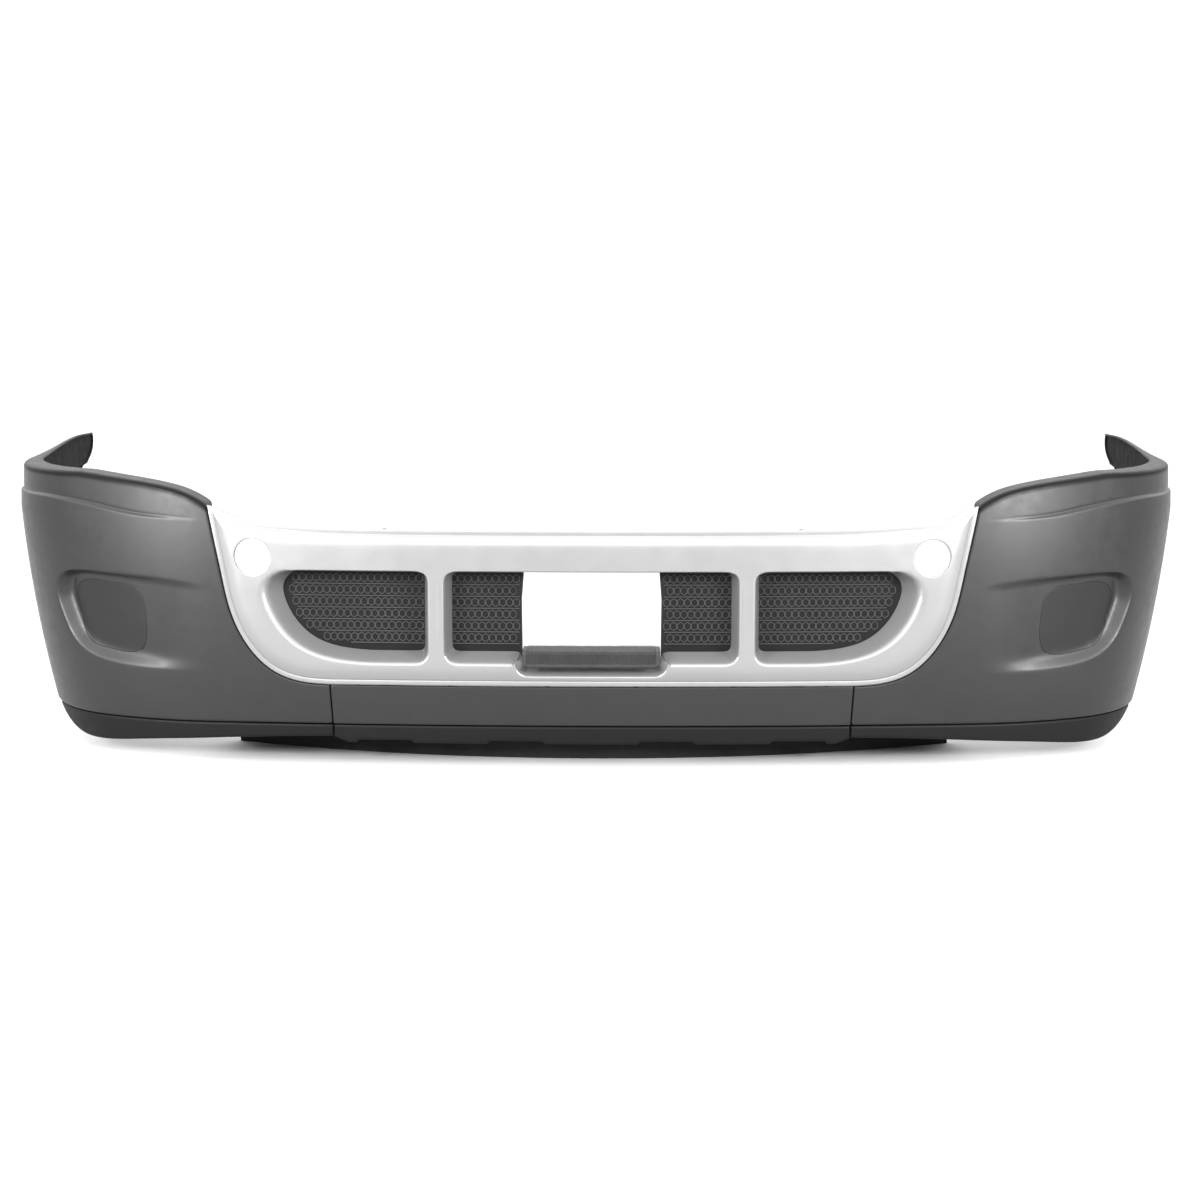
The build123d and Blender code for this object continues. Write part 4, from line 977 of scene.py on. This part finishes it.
def make_step_pad():
    """Rubber tread with fine ribs over its front face and top, in a plain border."""
    radius, inner = PAD_RADIUS, PAD_THICKNESS
    bend = [(PAD_FRONT + radius * (1 - math.sin(a)), PAD_TOP - radius * (1 - math.cos(a)))
            for a in np.linspace(math.pi / 2, 0, PAD_BEND_STEPS)]
    outside = [(PAD_FRONT + 0.003, PAD_BOTTOM), (PAD_FRONT, PAD_BOTTOM + 0.003)]
    outside += [(PAD_FRONT, z) for z in np.linspace(PAD_BOTTOM + 0.006, PAD_TOP - radius, 7)[:-1]] + bend
    outside += [(y, PAD_TOP) for y in np.linspace(PAD_FRONT + radius, PAD_BACK - 0.002, 8)[1:]]
    outside += [(PAD_BACK, PAD_TOP - 0.002)]
    inside = [(PAD_BACK, PAD_TOP - inner), (PAD_FRONT + inner, PAD_TOP - inner),
              (PAD_FRONT + inner, PAD_BOTTOM)]
    pitch, border = RIB_PITCH, PAD_BORDER
    xs = [-PAD_HALF, -PAD_HALF + 0.001, -PAD_HALF + border - 0.001, -PAD_HALF + border]
    ribs = int((2 * PAD_HALF - 2 * border) / pitch)
    start = -ribs * pitch / 2
    for rib in range(ribs):
        xs += [start + (rib + share) * pitch for share in RIB_SHARES]
    xs += [PAD_HALF - border, PAD_HALF - border + 0.001, PAD_HALF - 0.001, PAD_HALF]
    xs = np.array(xs)
    raised = np.zeros(len(xs))
    raised[4:-4] = np.tile([-GROOVE_DEPTH, 0.0, 0.0, -GROOVE_DEPTH], ribs)
    raised[[0, -1]] = -PAD_END_DROP
    path = np.array(outside)
    along = np.gradient(path, axis=0)
    out = np.stack([-along[:, 1], along[:, 0]], axis=1)
    out /= np.linalg.norm(out, axis=1)[:, None]
    verts, faces = [], []
    rows = len(path) + len(inside)
    for x, rise in zip(xs, raised):
        corner = max(0.0, abs(x) - (PAD_HALF - PAD_CORNER)) / PAD_CORNER
        lift = PAD_CORNER * (1 - math.sqrt(max(0.0, 1 - corner**2)))
        for i, (y, z) in enumerate(path):
            ribbed = rise if 3 <= i <= len(path) - 3 or abs(x) > PAD_HALF - 0.001 else min(0.0, rise) * 0.1
            low = lift * max(0.0, 1 - (z - PAD_BOTTOM) / PAD_LIFT_HEIGHT) if y < PAD_FRONT + 0.004 else 0.0
            verts.append((x, y + out[i, 0] * ribbed, z + out[i, 1] * ribbed + low))
        for y, z in inside:
            low = lift if z < PAD_BOTTOM + 0.001 else 0.0
            verts.append((x, y, z + low))
    for k in range(len(xs) - 1):
        for i in range(rows):
            j = (i + 1) % rows
            faces.append((k * rows + i, k * rows + j, (k + 1) * rows + j, (k + 1) * rows + i))
    faces.append(tuple(range(rows))[::-1])
    faces.append(tuple((len(xs) - 1) * rows + i for i in range(rows)))
    mesh = bpy.data.meshes.new("step_pad_tread")
    mesh.from_pydata(verts, [], faces)
    piece = finished(mesh, "step_pad_tread", sharp=50)
    return settle(piece, "step_pad", tread)


# ============================================================
# CAD nodes that stay as they are
# ============================================================
KEPT = {
    "black_rubber": ["center_skirt", "left_skirt", "right_skirt"],
    "coated_steel": ["upper_beam", "lower_beam", "left_frame_bracket", "right_frame_bracket"],
    "galvanised_steel": ["left_end_brace", "right_end_brace", "step_support"],
    "zinc_plate": ["beam_bolts", "trim_screws", "seam_screws", "lip_screws", "grille_screws", "brace_bolts"],
    "black_plastic": ["trim_clips", "skirt_push_pins"],
}


def finish_cad_nodes():
    """Give every CAD node that still shows its detailed material."""
    for slot, names in KEPT.items():
        for name in names:
            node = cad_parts[name]
            node.data.materials.clear()
            node.data.materials.append(CAD_FINISHES[slot])


# ============================================================
# Floor, light and camera
# ============================================================
FLOOR_HALF = 30.0
FLOOR_LIGHTNESS = 0.44
WALL_LIGHTNESS, WALL_UP_TO = 0.34, 0.14    # share of straight up that the wall reaches to
CEILING_LIGHTNESS, CEILING_FROM = 1.0, 0.50
WORLD_STRENGTH = 3.1
SIDE_POWER, KEY_POWER = 150, 30            # watts
CAMERA_TARGET_Z = 0.347
CAMERA_ELEVATION, CAMERA_AZIMUTH = math.radians(9.5), math.radians(0.9)
CAMERA_DISTANCE = 4.290
LENS = 63.63                               # millimetres, on a 36 mm sensor


def make_floor():
    """Plain pale floor."""
    half = FLOOR_HALF
    corners = [(-half, -half, 0), (half, -half, 0), (half, half, 0), (-half, half, 0)]
    mesh = bpy.data.meshes.new("floor")
    mesh.from_pydata(corners, [], [(0, 1, 2, 3)])
    floor = bpy.data.objects.new("floor", mesh)
    bpy.context.scene.collection.objects.link(floor)
    pale = new_material("pale_floor", (FLOOR_LIGHTNESS,) * 3, 0.9, specular=0.0)[0]
    mesh.materials.append(pale)


def area_light(name, location, target, size, power):
    """Soft rectangular light that faces the target."""
    data = bpy.data.lights.new(name, "AREA")
    data.shape = "RECTANGLE"
    data.size, data.size_y = size
    data.energy = power
    light = bpy.data.objects.new(name, data)
    light.location = location
    light.rotation_euler = (Vector(target) - Vector(location)).to_track_quat("-Z", "Y").to_euler()
    bpy.context.scene.collection.objects.link(light)


def make_light():
    """Studio with a grey wall fading to a bright ceiling, side softboxes and a key light."""
    world = bpy.data.worlds.new("studio")
    bpy.context.scene.world = world
    world.use_nodes = True
    tree = world.node_tree
    direction = tree.nodes.new("ShaderNodeTexCoord")
    split = tree.nodes.new("ShaderNodeSeparateXYZ")
    shade = tree.nodes.new("ShaderNodeValToRGB")
    wall, ceiling = shade.color_ramp.elements
    wall.position = WALL_UP_TO
    wall.color = (WALL_LIGHTNESS, WALL_LIGHTNESS, WALL_LIGHTNESS, 1)
    ceiling.position = CEILING_FROM
    ceiling.color = (CEILING_LIGHTNESS, CEILING_LIGHTNESS, CEILING_LIGHTNESS, 1)
    tree.links.new(direction.outputs["Generated"], split.inputs["Vector"])
    tree.links.new(split.outputs["Z"], shade.inputs["Fac"])
    tree.links.new(shade.outputs["Color"], tree.nodes["Background"].inputs["Color"])
    tree.nodes["Background"].inputs["Strength"].default_value = WORLD_STRENGTH
    for side in (-1, 1):
        spot = (side * 2.6, -3.05, 1.55)
        area_light("side_light", spot, (side * 0.90, -0.40, 0.52), (1.1, 0.8), SIDE_POWER)
    area_light("key_light", (0.0, -3.2, 2.6), (0, FRONT_Y, 0.35), (2.6, 1.2), KEY_POWER)
    bpy.context.scene.view_settings.view_transform = "Standard"


def make_camera():
    """Camera a little above the bumper, almost straight in front of it."""
    target = Vector((0, FRONT_Y, CAMERA_TARGET_Z))
    level = math.cos(CAMERA_ELEVATION)
    back = Vector((math.sin(CAMERA_AZIMUTH) * level, -math.cos(CAMERA_AZIMUTH) * level,
                   math.sin(CAMERA_ELEVATION)))
    data = bpy.data.cameras.new("camera")
    data.lens = LENS
    data.sensor_width = 36.0
    data.shift_x = 0.00725
    camera = bpy.data.objects.new("camera", data)
    camera.location = target + back * CAMERA_DISTANCE
    camera.rotation_euler = (-back).to_track_quat("-Z", "Y").to_euler()
    bpy.context.scene.collection.objects.link(camera)
    bpy.context.scene.camera = camera


make_trim()
make_end_cover()
make_fog_blank()
make_lower_panel()
make_lips()
make_grille_insert()
make_step_pad()
finish_cad_nodes()
make_floor()
make_light()
make_camera()
